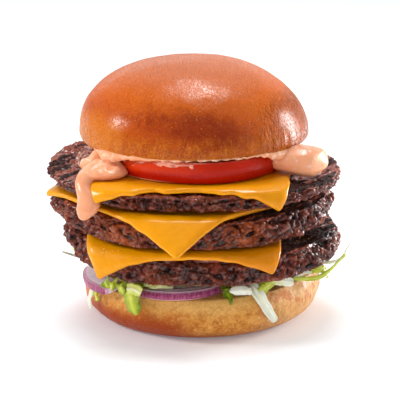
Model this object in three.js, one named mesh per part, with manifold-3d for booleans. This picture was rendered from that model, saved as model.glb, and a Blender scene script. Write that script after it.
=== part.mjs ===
// Triple beef burger in a soft glazed bun. From the bottom: the heel of the bun, red onion,
// shredded lettuce, three patties with a cheese slice on each, a tomato slice, dressing that
// spreads under the crown and runs out at both sides, and the crown of the bun.
//
// Millimetres. +X is the burger's right side, -Y its front and +Z up. The origin is the middle
// of the flat spot that the heel stands on.
import * as THREE from "three";
import Module from "manifold-3d";
import { mergeVertices } from "three/addons/utils/BufferGeometryUtils.js";

const wasm = await Module();
wasm.setup();

// ---------------------------------------------------------------- driving dimensions
const GAP = 0.35; // clearance between pieces that lie on each other
const BUN_RADIUS = 55.6; // half the width of the bun
const CHEESE_SIDE = 89.5; // side of a square cheese slice
const CHEESE_THICK = 2.4;
const HEEL_TOP = 20.8; // height of the heel's cut face at its middle
const HEEL_TILT = 0.04; // rise of that face for each millimetre to the right
const PATTY_FACES = { low: [27.8, 43], middle: [46.3, 60.2], high: [63.6, 72.4] }; // bottom, top
const TOMATO_TOP = 84.2;
const CROWN_BASE = 85.8; // height of the crown's cut face
const CROWN_TOP = 125; // height of the whole burger

const DEGREE = Math.PI / 180;

// ---------------------------------------------------------------- shared shaping tools

// A repeatable value from -1 to 1 for a corner of the noise grid.
function gridValue(i, j, k, seed) {
  const wave = Math.sin(i * 127.1 + j * 311.7 + k * 74.7 + seed * 19.3) * 43758.5453;
  return 2 * (wave - Math.floor(wave)) - 1;
}

// Smooth noise from -1 to 1, with lumps about `size` across.
function noise(x, y, z, size, seed) {
  const [u, v, w] = [x / size, y / size, z / size];
  const [i, j, k] = [Math.floor(u), Math.floor(v), Math.floor(w)];
  const ease = (t) => t * t * (3 - 2 * t);
  const [a, b, c] = [ease(u - i), ease(v - j), ease(w - k)];
  const mix = THREE.MathUtils.lerp;
  const along = (dj, dk) =>
    mix(gridValue(i, j + dj, k + dk, seed), gridValue(i + 1, j + dj, k + dk, seed), a);
  return mix(mix(along(0, 0), along(1, 0), b), mix(along(0, 1), along(1, 1), b), c);
}

// A solid turned about Z. The profile's [radius, height] points run from the bottom centre
// round the rim to the top centre.
function turned(profile, segments) {
  const points = profile.map(([radius, height]) => new THREE.Vector2(radius, height));
  return new THREE.LatheGeometry(points, segments).rotateX(Math.PI / 2);
}

// Moves every vertex of a geometry by a rule that takes and returns [x, y, z].
function reshape(geometry, rule) {
  const position = geometry.getAttribute("position");
  for (let i = 0; i < position.count; i++) {
    position.setXYZ(i, ...rule([position.getX(i), position.getY(i), position.getZ(i)]));
  }
  return geometry;
}

// A geometry whose equal vertices are shared, so that it is one closed surface.
const WELD = 1e-3; // vertices this near to each other are one
function welded(geometry) {
  const bare = geometry.clone();
  bare.deleteAttribute("normal");
  bare.deleteAttribute("uv");
  return mergeVertices(bare, WELD);
}

function toSolid(geometry) {
  const closed = welded(geometry);
  return new wasm.Manifold(
    new wasm.Mesh({
      numProp: 3,
      vertProperties: new Float32Array(closed.getAttribute("position").array),
      triVerts: new Uint32Array(closed.index.array),
    }),
  );
}

// The largest piece of a solid as a geometry, so that loose scraps of a cut are dropped.
function toGeometry(solid) {
  const [largest] = solid.decompose().sort((a, b) => b.volume() - a.volume());
  const { vertProperties, triVerts } = largest.getMesh();
  const geometry = new THREE.BufferGeometry();
  geometry.setAttribute("position", new THREE.BufferAttribute(vertProperties, 3));
  geometry.setIndex(new THREE.BufferAttribute(triVerts, 1));
  return geometry;
}

// The same surface moved outwards, which cuts a neighbour with clearance.
function grown(geometry, by) {
  const closed = welded(geometry);
  closed.computeVertexNormals();
  const normal = closed.getAttribute("normal");
  const position = closed.getAttribute("position");
  for (let i = 0; i < position.count; i++) {
    position.setXYZ(
      i,
      position.getX(i) + normal.getX(i) * by,
      position.getY(i) + normal.getY(i) * by,
      position.getZ(i) + normal.getZ(i) * by,
    );
  }
  return closed;
}

// Joins closed geometries, then cuts the neighbours out with clearance.
function joinedAndCut(pieces, neighbours, clearance = GAP + 0.15) {
  const whole = pieces.map(toSolid).reduce((a, b) => a.add(b));
  const tools = neighbours.map((geometry) => toSolid(grown(geometry, clearance)));
  const cut = toGeometry(tools.reduce((solid, tool) => solid.subtract(tool), whole));
  return toGeometry(toSolid(cut)); // welded, so that no sliver is left loose
}

// A closed tube of oval section along a curve. `size(t)` gives its half width and half height.
function swollenTube(points, size, steps = 12, sides = 12) {
  const curve = new THREE.CatmullRomCurve3(points.map((p) => new THREE.Vector3(...p)));
  const vertices = [];
  const faces = [];
  for (let s = 0; s <= steps; s++) {
    const t = s / steps;
    const centre = curve.getPointAt(t);
    const along = curve.getTangentAt(t);
    const across = new THREE.Vector3(-centre.y, centre.x, 0).normalize();
    const upright = new THREE.Vector3().crossVectors(across, along).normalize();
    const [half, thick] = size(t);
    for (let i = 0; i < sides; i++) {
      const turn = (i / sides) * 2 * Math.PI;
      const p = centre.clone();
      p.addScaledVector(across, half * Math.cos(turn));
      p.addScaledVector(upright, thick * Math.sin(turn));
      vertices.push(p.x, p.y, p.z);
    }
  }
  for (let s = 0; s < steps; s++) {
    for (let i = 0; i < sides; i++) {
      const [a, b] = [s * sides + i, s * sides + ((i + 1) % sides)];
      faces.push(a, b + sides, b, a, a + sides, b + sides);
    }
  }
  const ends = [curve.getPointAt(0), curve.getPointAt(1)];
  ends.forEach((end, which) => {
    const tip = vertices.length / 3;
    vertices.push(end.x, end.y, end.z);
    const ring = which * steps * sides;
    for (let i = 0; i < sides; i++) {
      const [a, b] = [ring + i, ring + ((i + 1) % sides)];
      faces.push(...(which ? [b, a, tip] : [a, b, tip]));
    }
  });
  const geometry = new THREE.BufferGeometry();
  geometry.setAttribute("position", new THREE.Float32BufferAttribute(vertices, 3));
  geometry.setIndex(faces);
  return geometry;
}

// The radius, in the direction of an angle, of an oval with its own reach to each side.
function ovalRadius(reach, angle) {
  const [c, s] = [Math.cos(angle), Math.sin(angle)];
  const acrossReach = c > 0 ? reach.right : reach.left;
  const depthReach = s > 0 ? reach.back : reach.front;
  return 1 / Math.hypot(c / acrossReach, s / depthReach);
}

// ---------------------------------------------------------------- the bun

// Heel: a low cushion of bread, widest under half its height, with a small flat spot below.
const HEEL_SHIFT = 1.4; // how far right its middle lies
const HEEL_FOOT = 44; // radius of the flat spot
const HEEL_BELLY = 13; // height of its widest ring
const HEEL_CUT = 51; // radius of the cut face
function makeHeel(segments = 40) {
  const reach = BUN_RADIUS + 0.8 - HEEL_FOOT;
  const profile = [[0, 0], [HEEL_FOOT / 2, 0], [HEEL_FOOT, 0]];
  for (let turn = -80; turn <= 35; turn += 20) {
    const out = Math.cos(turn * DEGREE) ** 1.1;
    profile.push([HEEL_FOOT + reach * out, HEEL_BELLY * (1 + Math.sin(turn * DEGREE))]);
  }
  profile.push([HEEL_CUT, HEEL_TOP], [0.6 * HEEL_CUT, HEEL_TOP], [0, HEEL_TOP]);
  return reshape(turned(profile, segments), ([x, y, z]) => {
    const swell = 1 + 0.012 * Math.sin(3 * Math.atan2(y, x) + 0.6) * (z / HEEL_TOP);
    return [x * swell + HEEL_SHIFT, y * swell, z * (1 + (HEEL_TILT * x) / HEEL_TOP)];
  });
}

// Crown: a dome with full shoulders, lower on its right side, whose rim curls in a little to
// the flat cut face.
const CROWN_CENTRE = [-1.9, 0];
const CROWN_RADIUS = BUN_RADIUS - 0.6;
const CROWN_SAG = 0.25; // how much flatter its right shoulder is than its left one
function makeCrown(segments = 40) {
  const curl = 2.6; // height of the widest ring above the cut face
  const waist = CROWN_BASE + curl;
  const rim = CROWN_RADIUS - 2.2; // radius of the cut face
  const steps = 11;
  const profile = [[0, CROWN_BASE], [rim / 2, CROWN_BASE], [rim - 4, CROWN_BASE]];
  for (let turn = -75; turn <= 0; turn += 25) {
    const out = (CROWN_RADIUS - rim) * Math.cos(turn * DEGREE);
    profile.push([rim + out, waist + curl * Math.sin(turn * DEGREE)]);
  }
  for (let step = 1; step <= steps; step++) {
    const turn = (step / steps) * 90 * DEGREE;
    const radius = CROWN_RADIUS * Math.max(0, Math.cos(turn)) ** 0.96;
    profile.push([radius, waist + (CROWN_TOP - waist) * Math.sin(turn) ** 0.84]);
  }
  return reshape(turned(profile, segments), ([x, y, z]) => {
    const turn = Math.atan2(y, x);
    const low = 1 - (z - CROWN_BASE) / (CROWN_TOP - CROWN_BASE);
    const swell = 1 + 0.008 * Math.sin(3 * turn + 1) + 0.006 * low * Math.sin(7 * turn);
    const rise = Math.max(0, z - waist) / (CROWN_TOP - waist);
    const height = rise ? waist + (CROWN_TOP - waist) * rise ** (1 + CROWN_SAG * (0.5 + 0.5 * Math.cos(turn))) : z;
    return [x * swell + CROWN_CENTRE[0], y * swell + CROWN_CENTRE[1], height];
  });
}

// ---------------------------------------------------------------- beef patties

// How far each patty's bottom (lift) and top (crest) have curled up at the rim, as a list of
// [bearing, rise]. Bearings are in degrees, counted from the right towards the back.
const PATTIES = {
  low: {
    seed: 3,
    centre: [1, -4],
    reach: { left: 68, right: 68, front: 60, back: 62 },
    lift: [[180, 8], [0, 3], [90, 2]],
    crest: [[180, 6], [0, 2], [90, 3]],
    faces: PATTY_FACES.low,
  },
  middle: {
    seed: 8,
    centre: [-2, -6],
    reach: { left: 69, right: 69, front: 60, back: 60 },
    lift: [[180, 6.5], [0, 3.5], [90, 4]],
    crest: [[180, 3], [0, 2.5], [90, 2.5]],
    faces: PATTY_FACES.middle,
  },
  high: {
    seed: 14,
    centre: [-0.5, -8],
    reach: { left: 71.5, right: 71.5, front: 57.5, back: 62 },
    lift: [[180, 5.5], [0, 3.5], [90, 4]],
    crest: [[140, 8], [40, 5], [90, 4.5]],
    faces: PATTY_FACES.high,
  },
};
const PATTY_EDGE = 6; // how far in from the rim a patty's edge is rounded
const PATTY_CRAG = 3.2; // depth of the crumbly beef's hollows

// The rim of a patty: an oval with soft lobes.
function pattyRim({ reach, seed }, angle) {
  const lobes = noise(3 * Math.cos(angle), 3 * Math.sin(angle), 0, 1.6, seed);
  return ovalRadius(reach, angle) + 1.5 * lobes;
}

// How far a patty has curled up at a point: nothing over its middle, each full rise at the rim.
const FLAT_REACH = 34;
const RIM_REACH = 66;
function curlUp(centre, curls, x, y) {
  let rise = 0;
  for (const [bearing, full] of curls) {
    const [c, s] = [Math.cos(bearing * DEGREE), Math.sin(bearing * DEGREE)];
    const along = (x - centre[0]) * c + (y - centre[1]) * s;
    rise += full * THREE.MathUtils.clamp((along - FLAT_REACH) / (RIM_REACH - FLAT_REACH), 0, 1) ** 1.4;
  }
  return rise;
}

// Ground beef: a flat cake with a crumbly rim. All of its relief is cut inwards, so that the
// slices and the dressing can lie against it. With `crag` at 0 it is the plain cake.
function makePatty(patty, crag = PATTY_CRAG, segments = 46) {
  const { centre, faces, seed } = patty;
  const [bottom, top] = faces;
  const half = (top - bottom) / 2;
  const profile = [[0, -1], [0.55, -1], [0.85, -1]];
  for (let turn = -90; turn <= 90; turn += 22.5) {
    profile.push([1 + Math.max(0, Math.cos(turn * DEGREE)) ** 0.55, Math.sin(turn * DEGREE)]);
  }
  profile.push([0.85, 1], [0.55, 1], [0, 1]);
  return reshape(turned(profile, segments), ([x, y, h]) => {
    const share = Math.hypot(x, y);
    const angle = Math.atan2(y, x);
    const inner = pattyRim(patty, angle) - PATTY_EDGE;
    const radius = share < 1 ? share * inner : inner + (share - 1) * PATTY_EDGE;
    const [px, py, pz] = [radius * Math.cos(angle), radius * Math.sin(angle), half * h];
    const lump = 0.6 * noise(px, py, pz, 7, seed) + 0.4 * noise(px, py, pz, 3.6, seed + 1);
    const hollow = crag * THREE.MathUtils.clamp(0.45 - 0.75 * lump, 0, 1);
    const side = THREE.MathUtils.smoothstep(share, 0.8, 1.5); // 0 on the faces, 1 on the rim
    const face = THREE.MathUtils.smoothstep(share, 0.55, 0.85) * (1 - side);
    const out = radius - hollow * side;
    const [qx, qy] = [centre[0] + out * Math.cos(angle), centre[1] + out * Math.sin(angle)];
    const low = curlUp(centre, patty.lift, qx, qy);
    const high = curlUp(centre, patty.crest, qx, qy);
    const curled = THREE.MathUtils.lerp(low, high, (h + 1) / 2);
    return [qx, qy, bottom + half + pz + curled - 0.5 * Math.sign(h) * hollow * face];
  });
}

// ---------------------------------------------------------------- cheese slices

// Each slice lies on a patty. `corner` is where its flat front left corner would be, and
// `turn` the direction of its front edge.
const CHEESES = {
  low: { on: PATTIES.low, corner: [-51.8, -60.8], turn: -2.7, slope: 80 },
  middle: { on: PATTIES.middle, corner: [-72, -20.4], turn: -45.8, slope: 43 },
  high: { on: PATTIES.high, corner: [-48.6, -59.6], turn: -3.3, slope: 82 },
};
const CHEESE_BEND = 7; // radius of the bend where a slice goes over the patty's rim
const CHEESE_SETBACK = 4.8; // the bend starts this far inside the patty's rim

// The point of a slice's middle layer whose flat place is (x, y): level on the patty, then
// bent over its rim and hanging.
function drape({ on, slope }, x, y) {
  const [dx, dy] = [x - on.centre[0], y - on.centre[1]];
  const reach = Math.hypot(dx, dy);
  const rim = pattyRim(on, Math.atan2(dy, dx)) - CHEESE_SETBACK;
  const past = Math.max(0, reach - rim);
  const bend = Math.min(past / CHEESE_BEND, slope * DEGREE);
  const straight = past - bend * CHEESE_BEND;
  const out = CHEESE_BEND * Math.sin(bend) + straight * Math.cos(bend);
  const drop = CHEESE_BEND * (1 - Math.cos(bend)) + straight * Math.sin(bend);
  const scale = reach > 0 ? (Math.min(reach, rim) + out) / reach : 1;
  const within = reach > 0 ? Math.min(reach, rim) / reach : 1;
  const curl = curlUp(on.centre, on.crest, on.centre[0] + dx * within, on.centre[1] + dy * within);
  const level = on.faces[1] + curl + GAP + CHEESE_THICK / 2;
  return new THREE.Vector3(on.centre[0] + dx * scale, on.centre[1] + dy * scale, level - drop);
}

function makeCheese(slice) {
  const cells = 12;
  const along = [Math.cos(slice.turn * DEGREE), Math.sin(slice.turn * DEGREE)];
  const flat = (u, v) => [
    slice.corner[0] + u * along[0] - v * along[1],
    slice.corner[1] + u * along[1] + v * along[0],
  ];
  const point = (i, j, side) => {
    const [u, v] = [(i / cells) * CHEESE_SIDE, (j / cells) * CHEESE_SIDE];
    const here = drape(slice, ...flat(u, v));
    const alongU = drape(slice, ...flat(u + 0.5, v)).sub(drape(slice, ...flat(u - 0.5, v)));
    const alongV = drape(slice, ...flat(u, v + 0.5)).sub(drape(slice, ...flat(u, v - 0.5)));
    const normal = alongU.cross(alongV).normalize();
    return here.addScaledVector(normal, (side * CHEESE_THICK) / 2);
  };
  const vertices = [];
  for (const side of [-1, 1]) {
    for (let j = 0; j <= cells; j++) {
      for (let i = 0; i <= cells; i++) vertices.push(...point(i, j, side));
    }
  }
  const row = cells + 1;
  const upper = row * row;
  const faces = [];
  for (let j = 0; j < cells; j++) {
    for (let i = 0; i < cells; i++) {
      const a = j * row + i;
      const [b, c, d] = [a + 1, a + row + 1, a + row];
      faces.push(a, c, b, a, d, c, a + upper, b + upper, c + upper, a + upper, c + upper, d + upper);
    }
  }
  for (let i = 0; i < cells; i++) {
    const edges = [
      [i, i + 1],
      [cells * row + i + 1, cells * row + i],
      [(i + 1) * row, i * row],
      [i * row + cells, (i + 1) * row + cells],
    ];
    for (const [a, b] of edges) faces.push(a, b, b + upper, a, b + upper, a + upper);
  }
  const geometry = new THREE.BufferGeometry();
  geometry.setAttribute("position", new THREE.Float32BufferAttribute(vertices, 3));
  geometry.setIndex(faces);
  return geometry;
}

// ---------------------------------------------------------------- tomato and onion

// Tomato: a thick slice with the fruit's own curve on its skin edge.
const TOMATO = { centre: [0, -16], radius: 40 };
function makeTomato(segments = 34) {
  const bottom = PATTY_FACES.high[1] + 2 * GAP + CHEESE_THICK + 0.1;
  const half = (TOMATO_TOP - bottom) / 2;
  const flat = TOMATO.radius - 2.5;
  const profile = [[0, -half], [flat, -half]];
  for (let turn = -60; turn <= 60; turn += 30) {
    const out = flat + 0.5 + 2 * Math.cos(turn * DEGREE);
    profile.push([out, half * Math.sin(turn * DEGREE) * 1.08]);
  }
  profile.push([flat, half], [0, half]);
  return reshape(turned(profile, segments), ([x, y, z]) => {
    const lobes = 1 + 0.012 * Math.cos(5 * Math.atan2(y, x));
    return [TOMATO.centre[0] + x * lobes, TOMATO.centre[1] + y * lobes, bottom + half + z];
  });
}

// Onion: a slice across the bulb, and half of another one's outer rings that leans out.
const ONION_THICK = 4.2;
const ONION_LEVEL = HEEL_TOP + GAP + 0.1; // height of the slice's bottom at the heel's middle
const ONION_SLICE = { centre: [-8, -30], radius: 26 };
function makeOnionSlice() {
  const { centre, radius } = ONION_SLICE;
  const edge = 1.4; // how far the outer ring's skin bulges past the cut faces
  const profile = [[0, 0], [radius - edge, 0]];
  for (const turn of [-50, -20, 20, 50]) {
    const out = radius - edge * (1 - Math.cos(turn * DEGREE) ** 2);
    profile.push([out, (ONION_THICK / 2) * (1 + Math.sin(turn * DEGREE))]);
  }
  profile.push([radius - edge, ONION_THICK], [0, ONION_THICK]);
  const slice = turned(profile, 32);
  return slice.rotateY(-HEEL_TILT).translate(...centre, ONION_LEVEL + HEEL_TILT * centre[0]);
}

// The broken slice's rings sag outwards over the heel's shoulder.
const ONION_ARC = { centre: [-15, -12.5, 24.8], outer: 40, inner: 29 };
const ONION_ARC_TURN = { bearing: 198, spread: 31, sag: 10 };
function makeOnionArc() {
  const { centre, outer, inner } = ONION_ARC;
  const { bearing, spread, sag } = ONION_ARC_TURN;
  const outline = new THREE.Shape();
  const [from, to] = [(180 - spread) * DEGREE, (180 + spread) * DEGREE];
  outline.absarc(0, 0, outer, from, to, false);
  outline.absarc(0, 0, inner, to, from, true);
  const bevel = 0.6;
  const arc = new THREE.ExtrudeGeometry(outline, {
    depth: ONION_THICK - 2 * bevel,
    bevelThickness: bevel,
    bevelSize: bevel,
    bevelOffset: -bevel,
    bevelSegments: 1,
    curveSegments: 9,
  });
  arc.translate(0, 0, bevel).rotateY(-sag * DEGREE).rotateZ((bearing - 180) * DEGREE);
  return arc.translate(...centre);
}

// ---------------------------------------------------------------- shredded lettuce

// Shreds lie on the heel's rim. An "over" shred bends down and hangs by `hang`; an "out" shred
// sticks out to the radius `reach` and rises by `rise`. Bearings are in degrees, counted from
// the burger's right towards its back, so the front is at 270; `sweep` is how far a shred's
// end has turned from there.
const SHREDS = [
  { bearing: 178, sweep: 3, width: 2.2, reach: 69, rise: 11 },
  { bearing: 226, sweep: 2, width: 7, reach: 60, rise: -2 },
  { bearing: 234, sweep: 1, width: 6, reach: 60, rise: -2.6 },
  { bearing: 240, sweep: 1, width: 6.4, hang: 7.5 },
  { bearing: 244, sweep: 1, width: 6, reach: 61, rise: -2.4 },
  { bearing: 285, sweep: 0, width: 5, reach: 60, rise: -4 },
  { bearing: 289, sweep: 2, width: 8, reach: 59.4, rise: -2 },
  { bearing: 297, sweep: 11, width: 5.6, hang: 12.5 },
  { bearing: 301, sweep: 4, width: 5.5, reach: 60, rise: -2 },
  { bearing: 311, sweep: 7, width: 5, hang: 0.5 },
  { bearing: 319, sweep: 20, width: 2.4, reach: 75, rise: 9 },
  { bearing: 326, sweep: 4, width: 5.5, reach: 62, rise: 1.5 },
  { bearing: 336, sweep: 3, width: 5, reach: 66, rise: -2.5 },
  { bearing: 348, sweep: 8, width: 2, reach: 76, rise: 11 },
];
// The sides that face away carry more of the same, one in each of these bearings.
for (let bearing = 4; bearing < 172; bearing += 18) {
  const [spread, length] = [gridValue(bearing, 1, 0, 5), gridValue(bearing, 2, 0, 5)];
  const shred = { bearing: bearing + 4 * spread, sweep: 6 * length, width: 4.4 + 1.6 * spread };
  const end = gridValue(bearing, 3, 0, 5) > -0.5 ? { hang: 6 + 5 * length } : { reach: 67, rise: 1 };
  SHREDS.push({ ...shred, ...end });
}

// A thin flat strip along a curve. It faces away from a point low on the burger's axis.
function ribbon(points, width, thick, steps = 4) {
  const curve = new THREE.CatmullRomCurve3(points.map((p) => new THREE.Vector3(...p)));
  const vertices = [];
  const faces = [];
  for (let s = 0; s <= steps; s++) {
    const t = s / steps;
    const centre = curve.getPointAt(t);
    const along = curve.getTangentAt(t);
    const outward = new THREE.Vector3(centre.x, centre.y, centre.z / 2).normalize();
    const across = new THREE.Vector3().crossVectors(along, outward).normalize();
    const face = new THREE.Vector3().crossVectors(across, along).normalize();
    const half = (width / 2) * (0.55 + 0.45 * Math.sin(Math.PI * (0.15 + 0.7 * t)));
    for (const [a, f] of [[-1, -1], [1, -1], [1, 1], [-1, 1]]) {
      const p = centre.clone().addScaledVector(across, a * half);
      p.addScaledVector(face, (f * thick) / 2);
      vertices.push(p.x, p.y, p.z);
    }
  }
  for (let s = 0; s < steps; s++) {
    for (let i = 0; i < 4; i++) {
      const [a, b] = [s * 4 + i, s * 4 + ((i + 1) % 4)];
      faces.push(a, b + 4, b, a, a + 4, b + 4);
    }
  }
  const last = steps * 4;
  faces.push(0, 1, 2, 0, 2, 3, last, last + 2, last + 1, last, last + 3, last + 2);
  const geometry = new THREE.BufferGeometry();
  geometry.setAttribute("position", new THREE.Float32BufferAttribute(vertices, 3));
  geometry.setIndex(faces);
  return geometry;
}

const placed = (bearing, radius, z) => [
  radius * Math.cos(bearing * DEGREE),
  radius * Math.sin(bearing * DEGREE),
  z,
];

const SHRED_THICK = 1;
const SHRED_ROOT = 40; // radius where a shred leaves the heap
const SHRED_BEND = 52.5; // radius where it starts to bend down
const SHRED_HANG = 59.6; // radius at which it hangs
function shredRoute({ bearing, sweep, hang, reach, rise }) {
  const onOnion = bearing > 180 && bearing < 285;
  const rest = onOnion
    ? ONION_LEVEL + ONION_THICK + GAP + 0.8
    : HEEL_TOP + 3.4 + HEEL_TILT * SHRED_BEND * Math.cos(bearing * DEGREE);
  const level = rest + 0.4 * gridValue(bearing, 7, 0, 2);
  if (hang === undefined) {
    return [
      placed(bearing - sweep * 0.3, SHRED_ROOT, level),
      placed(bearing, SHRED_BEND + 1.5, level),
      placed(bearing + sweep * 0.4, reach - 7, level + 0.1 * rise),
      placed(bearing + sweep, reach, level + rise),
    ];
  }
  return [
    placed(bearing - sweep * 0.3, SHRED_ROOT, level),
    placed(bearing, SHRED_BEND, level - 0.4),
    placed(bearing + sweep * 0.2, SHRED_HANG - 2, level - 3),
    placed(bearing + sweep * 0.5, SHRED_HANG - 0.4, level - 3.4 - hang / 2),
    placed(bearing + sweep, SHRED_HANG, level - 3.4 - hang),
  ];
}

// The heap fills the space between the heel and the lowest patty, round the onion.
function makeLettuce(neighbours) {
  const bottom = HEEL_TOP + GAP - 1;
  const height = PATTY_FACES.low[0] - GAP - bottom;
  const profile = [[0, 0], [43, 0], [46, 0.4 * height], [44, height], [0, height]];
  const core = turned(profile, 16).translate(0, 0, bottom);
  const shreds = SHREDS.map((shred) => ribbon(shredRoute(shred), shred.width, SHRED_THICK));
  return joinedAndCut([core, ...shreds], neighbours);
}

// ---------------------------------------------------------------- dressing

// Thick dressing: a layer under the crown, a run down the left side that ends in a drop, a
// pool beside the tomato and a tongue on the right.
const DRESSING_RUN = [[-33, -22, 81.6], [-41, -32, 80.4], [-47.6, -40, 78.2],
  [-51, -47, 74.4], [-50.4, -51.8, 69], [-50.2, -53.6, 63], [-51.2, -53.6, 58.6]];
const DRESSING_TONGUE = [[28, -26, 81], [42, -29, 80.2], [51, -30, 79.4], [59.6, -30, 78]];
const DRESSING_POOL = { centre: [-42, -39.5, 77.8], radius: 11, half: 3.4 };

// A half width that fills out from nothing at each end of a run.
const roundEnds = (t) => Math.sqrt(Math.max(0.04, 1 - Math.abs(2 * t - 1) ** 6));

function makeDressing(neighbours) {
  const rim = BUN_RADIUS - 6.5;
  const thick = CROWN_BASE - TOMATO_TOP - 2 * GAP;
  const layer = turned([[0, 0], [rim - 3, -0.4], [rim, 0.2], [rim - 1, 1.1], [0, thick]], 32);
  layer.translate(0, -4, TOMATO_TOP + GAP);
  const run = swollenTube(DRESSING_RUN, (t) => {
    const narrow = THREE.MathUtils.lerp(9, 3.8, THREE.MathUtils.smoothstep(t, 0.3, 0.66));
    const drop = 2.2 * THREE.MathUtils.smoothstep(t, 0.66, 0.84);
    const half = (narrow + drop) * roundEnds(t);
    return [half, Math.min(half, 3.6)];
  }, 12, 10);
  const tongue = swollenTube(DRESSING_TONGUE, (t) => {
    return [10 * roundEnds(t), 6 * roundEnds(t)];
  }, 8, 10);
  const { centre, radius, half } = DRESSING_POOL;
  const edge = [0.7 * radius, 0.8 * half];
  const bulge = [[0, -half], [edge[0], -edge[1]], [radius, 0], edge, [0, half]];
  const pool = turned(bulge, 14).translate(...centre);
  return joinedAndCut([layer, run, tongue, pool], neighbours);
}

// ---------------------------------------------------------------- the burger

const FINISHES = {
  crust: { color: 0xb5551a, roughness: 0.35 },
  beef: { color: 0x4a241a, roughness: 0.55 },
  cheese: { color: 0xf2a516, roughness: 0.35 },
  tomato: { color: 0xb3230f, roughness: 0.25 },
  onion: { color: 0x8a3a63, roughness: 0.35 },
  lettuce: { color: 0x9dac3c, roughness: 0.45 },
  dressing: { color: 0xf0a878, roughness: 0.25 },
};

const burger = new THREE.Group();
function add(name, geometry, finish) {
  const material = new THREE.MeshStandardMaterial({ metalness: 0, ...FINISHES[finish] });
  const mesh = new THREE.Mesh(geometry, material);
  mesh.name = name;
  burger.add(mesh);
  return geometry;
}

add("bun_heel", makeHeel(), "crust");
const onionSlice = add("onion_slice", makeOnionSlice(), "onion");
const onionArc = add("onion_arc", makeOnionArc(), "onion");
const cheeses = {};
for (const level of ["low", "middle", "high"]) {
  const cheese = makeCheese(CHEESES[level]);
  // Where a slice bends tightly over the rim, it presses into the beef.
  const patty = joinedAndCut([makePatty(PATTIES[level])], [cheese], GAP - 0.05);
  add(`patty_${level}`, patty, "beef");
  cheeses[level] = add(`cheese_${level}`, cheese, "cheese");
}
const tomato = add("tomato_slice", makeTomato(), "tomato");
add("bun_crown", makeCrown(), "crust");
const plainPatty = (patty) => makePatty(patty, 0, 24);
const under = [makeHeel(20), onionSlice, onionArc, plainPatty(PATTIES.low), cheeses.low];
add("lettuce", makeLettuce(under), "lettuce");
const round = [plainPatty(PATTIES.middle), cheeses.middle, plainPatty(PATTIES.high), cheeses.high];
add("dressing", makeDressing([...round, tomato, makeCrown(20)]), "dressing");

export default burger;
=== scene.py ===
# A triple beef burger in a glazed brioche bun, dressed over its solid model. Sizes are in
# millimetres. +X is the burger's right side, -Y its front and +Z up, and Z = 0 is the table.
import itertools
import math

import bmesh
import bpy
import numpy as np
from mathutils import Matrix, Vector
from mathutils.bvhtree import BVHTree


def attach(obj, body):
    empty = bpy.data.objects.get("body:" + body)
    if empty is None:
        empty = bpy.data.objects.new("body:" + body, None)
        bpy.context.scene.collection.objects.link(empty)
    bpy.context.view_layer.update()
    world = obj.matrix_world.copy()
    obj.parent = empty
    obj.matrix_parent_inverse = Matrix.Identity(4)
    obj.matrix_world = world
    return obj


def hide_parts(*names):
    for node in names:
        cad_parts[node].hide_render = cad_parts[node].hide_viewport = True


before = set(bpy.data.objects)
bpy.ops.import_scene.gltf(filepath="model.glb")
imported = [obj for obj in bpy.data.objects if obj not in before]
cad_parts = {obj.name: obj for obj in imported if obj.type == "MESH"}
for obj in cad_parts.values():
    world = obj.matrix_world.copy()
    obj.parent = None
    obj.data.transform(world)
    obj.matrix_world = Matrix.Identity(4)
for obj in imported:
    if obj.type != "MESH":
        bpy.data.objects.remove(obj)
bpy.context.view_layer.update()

# ---------------------------------------------------------------- heel of the bun
# The lower half of a soft enriched bun. It baked on a tray, so it is browned low down where the
# dough met hot metal, and pale and finely wrinkled higher up where the bun pulled apart.
MM = 0.001
BUN_RADIUS = 55.6
HEEL_SPREAD = 0.8  # how far its widest ring stands out past that radius
HEEL_SHIFT = 1.4  # how far right its middle lies
HEEL_FOOT = 44.0  # radius of the flat spot
HEEL_BELLY = 13.0  # height of its widest ring
HEEL_TOP = 20.8  # height of the cut face at its middle
HEEL_CUT = 51.0  # radius of the cut face
HEEL_TILT = 0.04  # rise of that face for each millimetre to the right
HEEL_LIP = 2.0  # how far the side bulges at the right front
LIP_BEARING, LIP_SPREAD = -15, 50  # where that bulge lies, in degrees


def lattice(i, j, k, seed):
    """A repeatable value from -1 to 1 for each corner of a grid."""
    wave = np.sin(i * 127.1 + j * 311.7 + k * 74.7 + seed * 19.3) * 43758.5453
    return 2 * (wave - np.floor(wave)) - 1


def lumps(points, size, seed):
    """Smooth noise from -1 to 1 at each point, with lumps about `size` across."""
    place = np.asarray(points) / size
    low = np.floor(place)
    share = place - low
    share = share * share * (3 - 2 * share)
    total = 0
    for corner in itertools.product((0, 1), repeat=3):
        weight = np.prod(np.where(np.array(corner) == 1, share, 1 - share), axis=-1)
        total = total + weight * lattice(*(low[..., n] + corner[n] for n in range(3)), seed)
    return total


def step_up(value, low, high):
    """0 below low, 1 above high and a smooth rise between them."""
    share = np.clip((value - low) / (high - low), 0, 1)
    return share * share * (3 - 2 * share)


def turned(profile, segments):
    """Rings of a body turned about Z, from a profile of (radius, height) that runs from the
    bottom centre round the rim to the top centre."""
    turns = np.arange(segments) * 2 * math.pi / segments
    radius, height = np.array(profile).T
    across = radius[:, None] * np.cos(turns)
    deep = radius[:, None] * np.sin(turns)
    return np.stack([across, deep, np.broadcast_to(height[:, None], across.shape)], -1)


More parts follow.
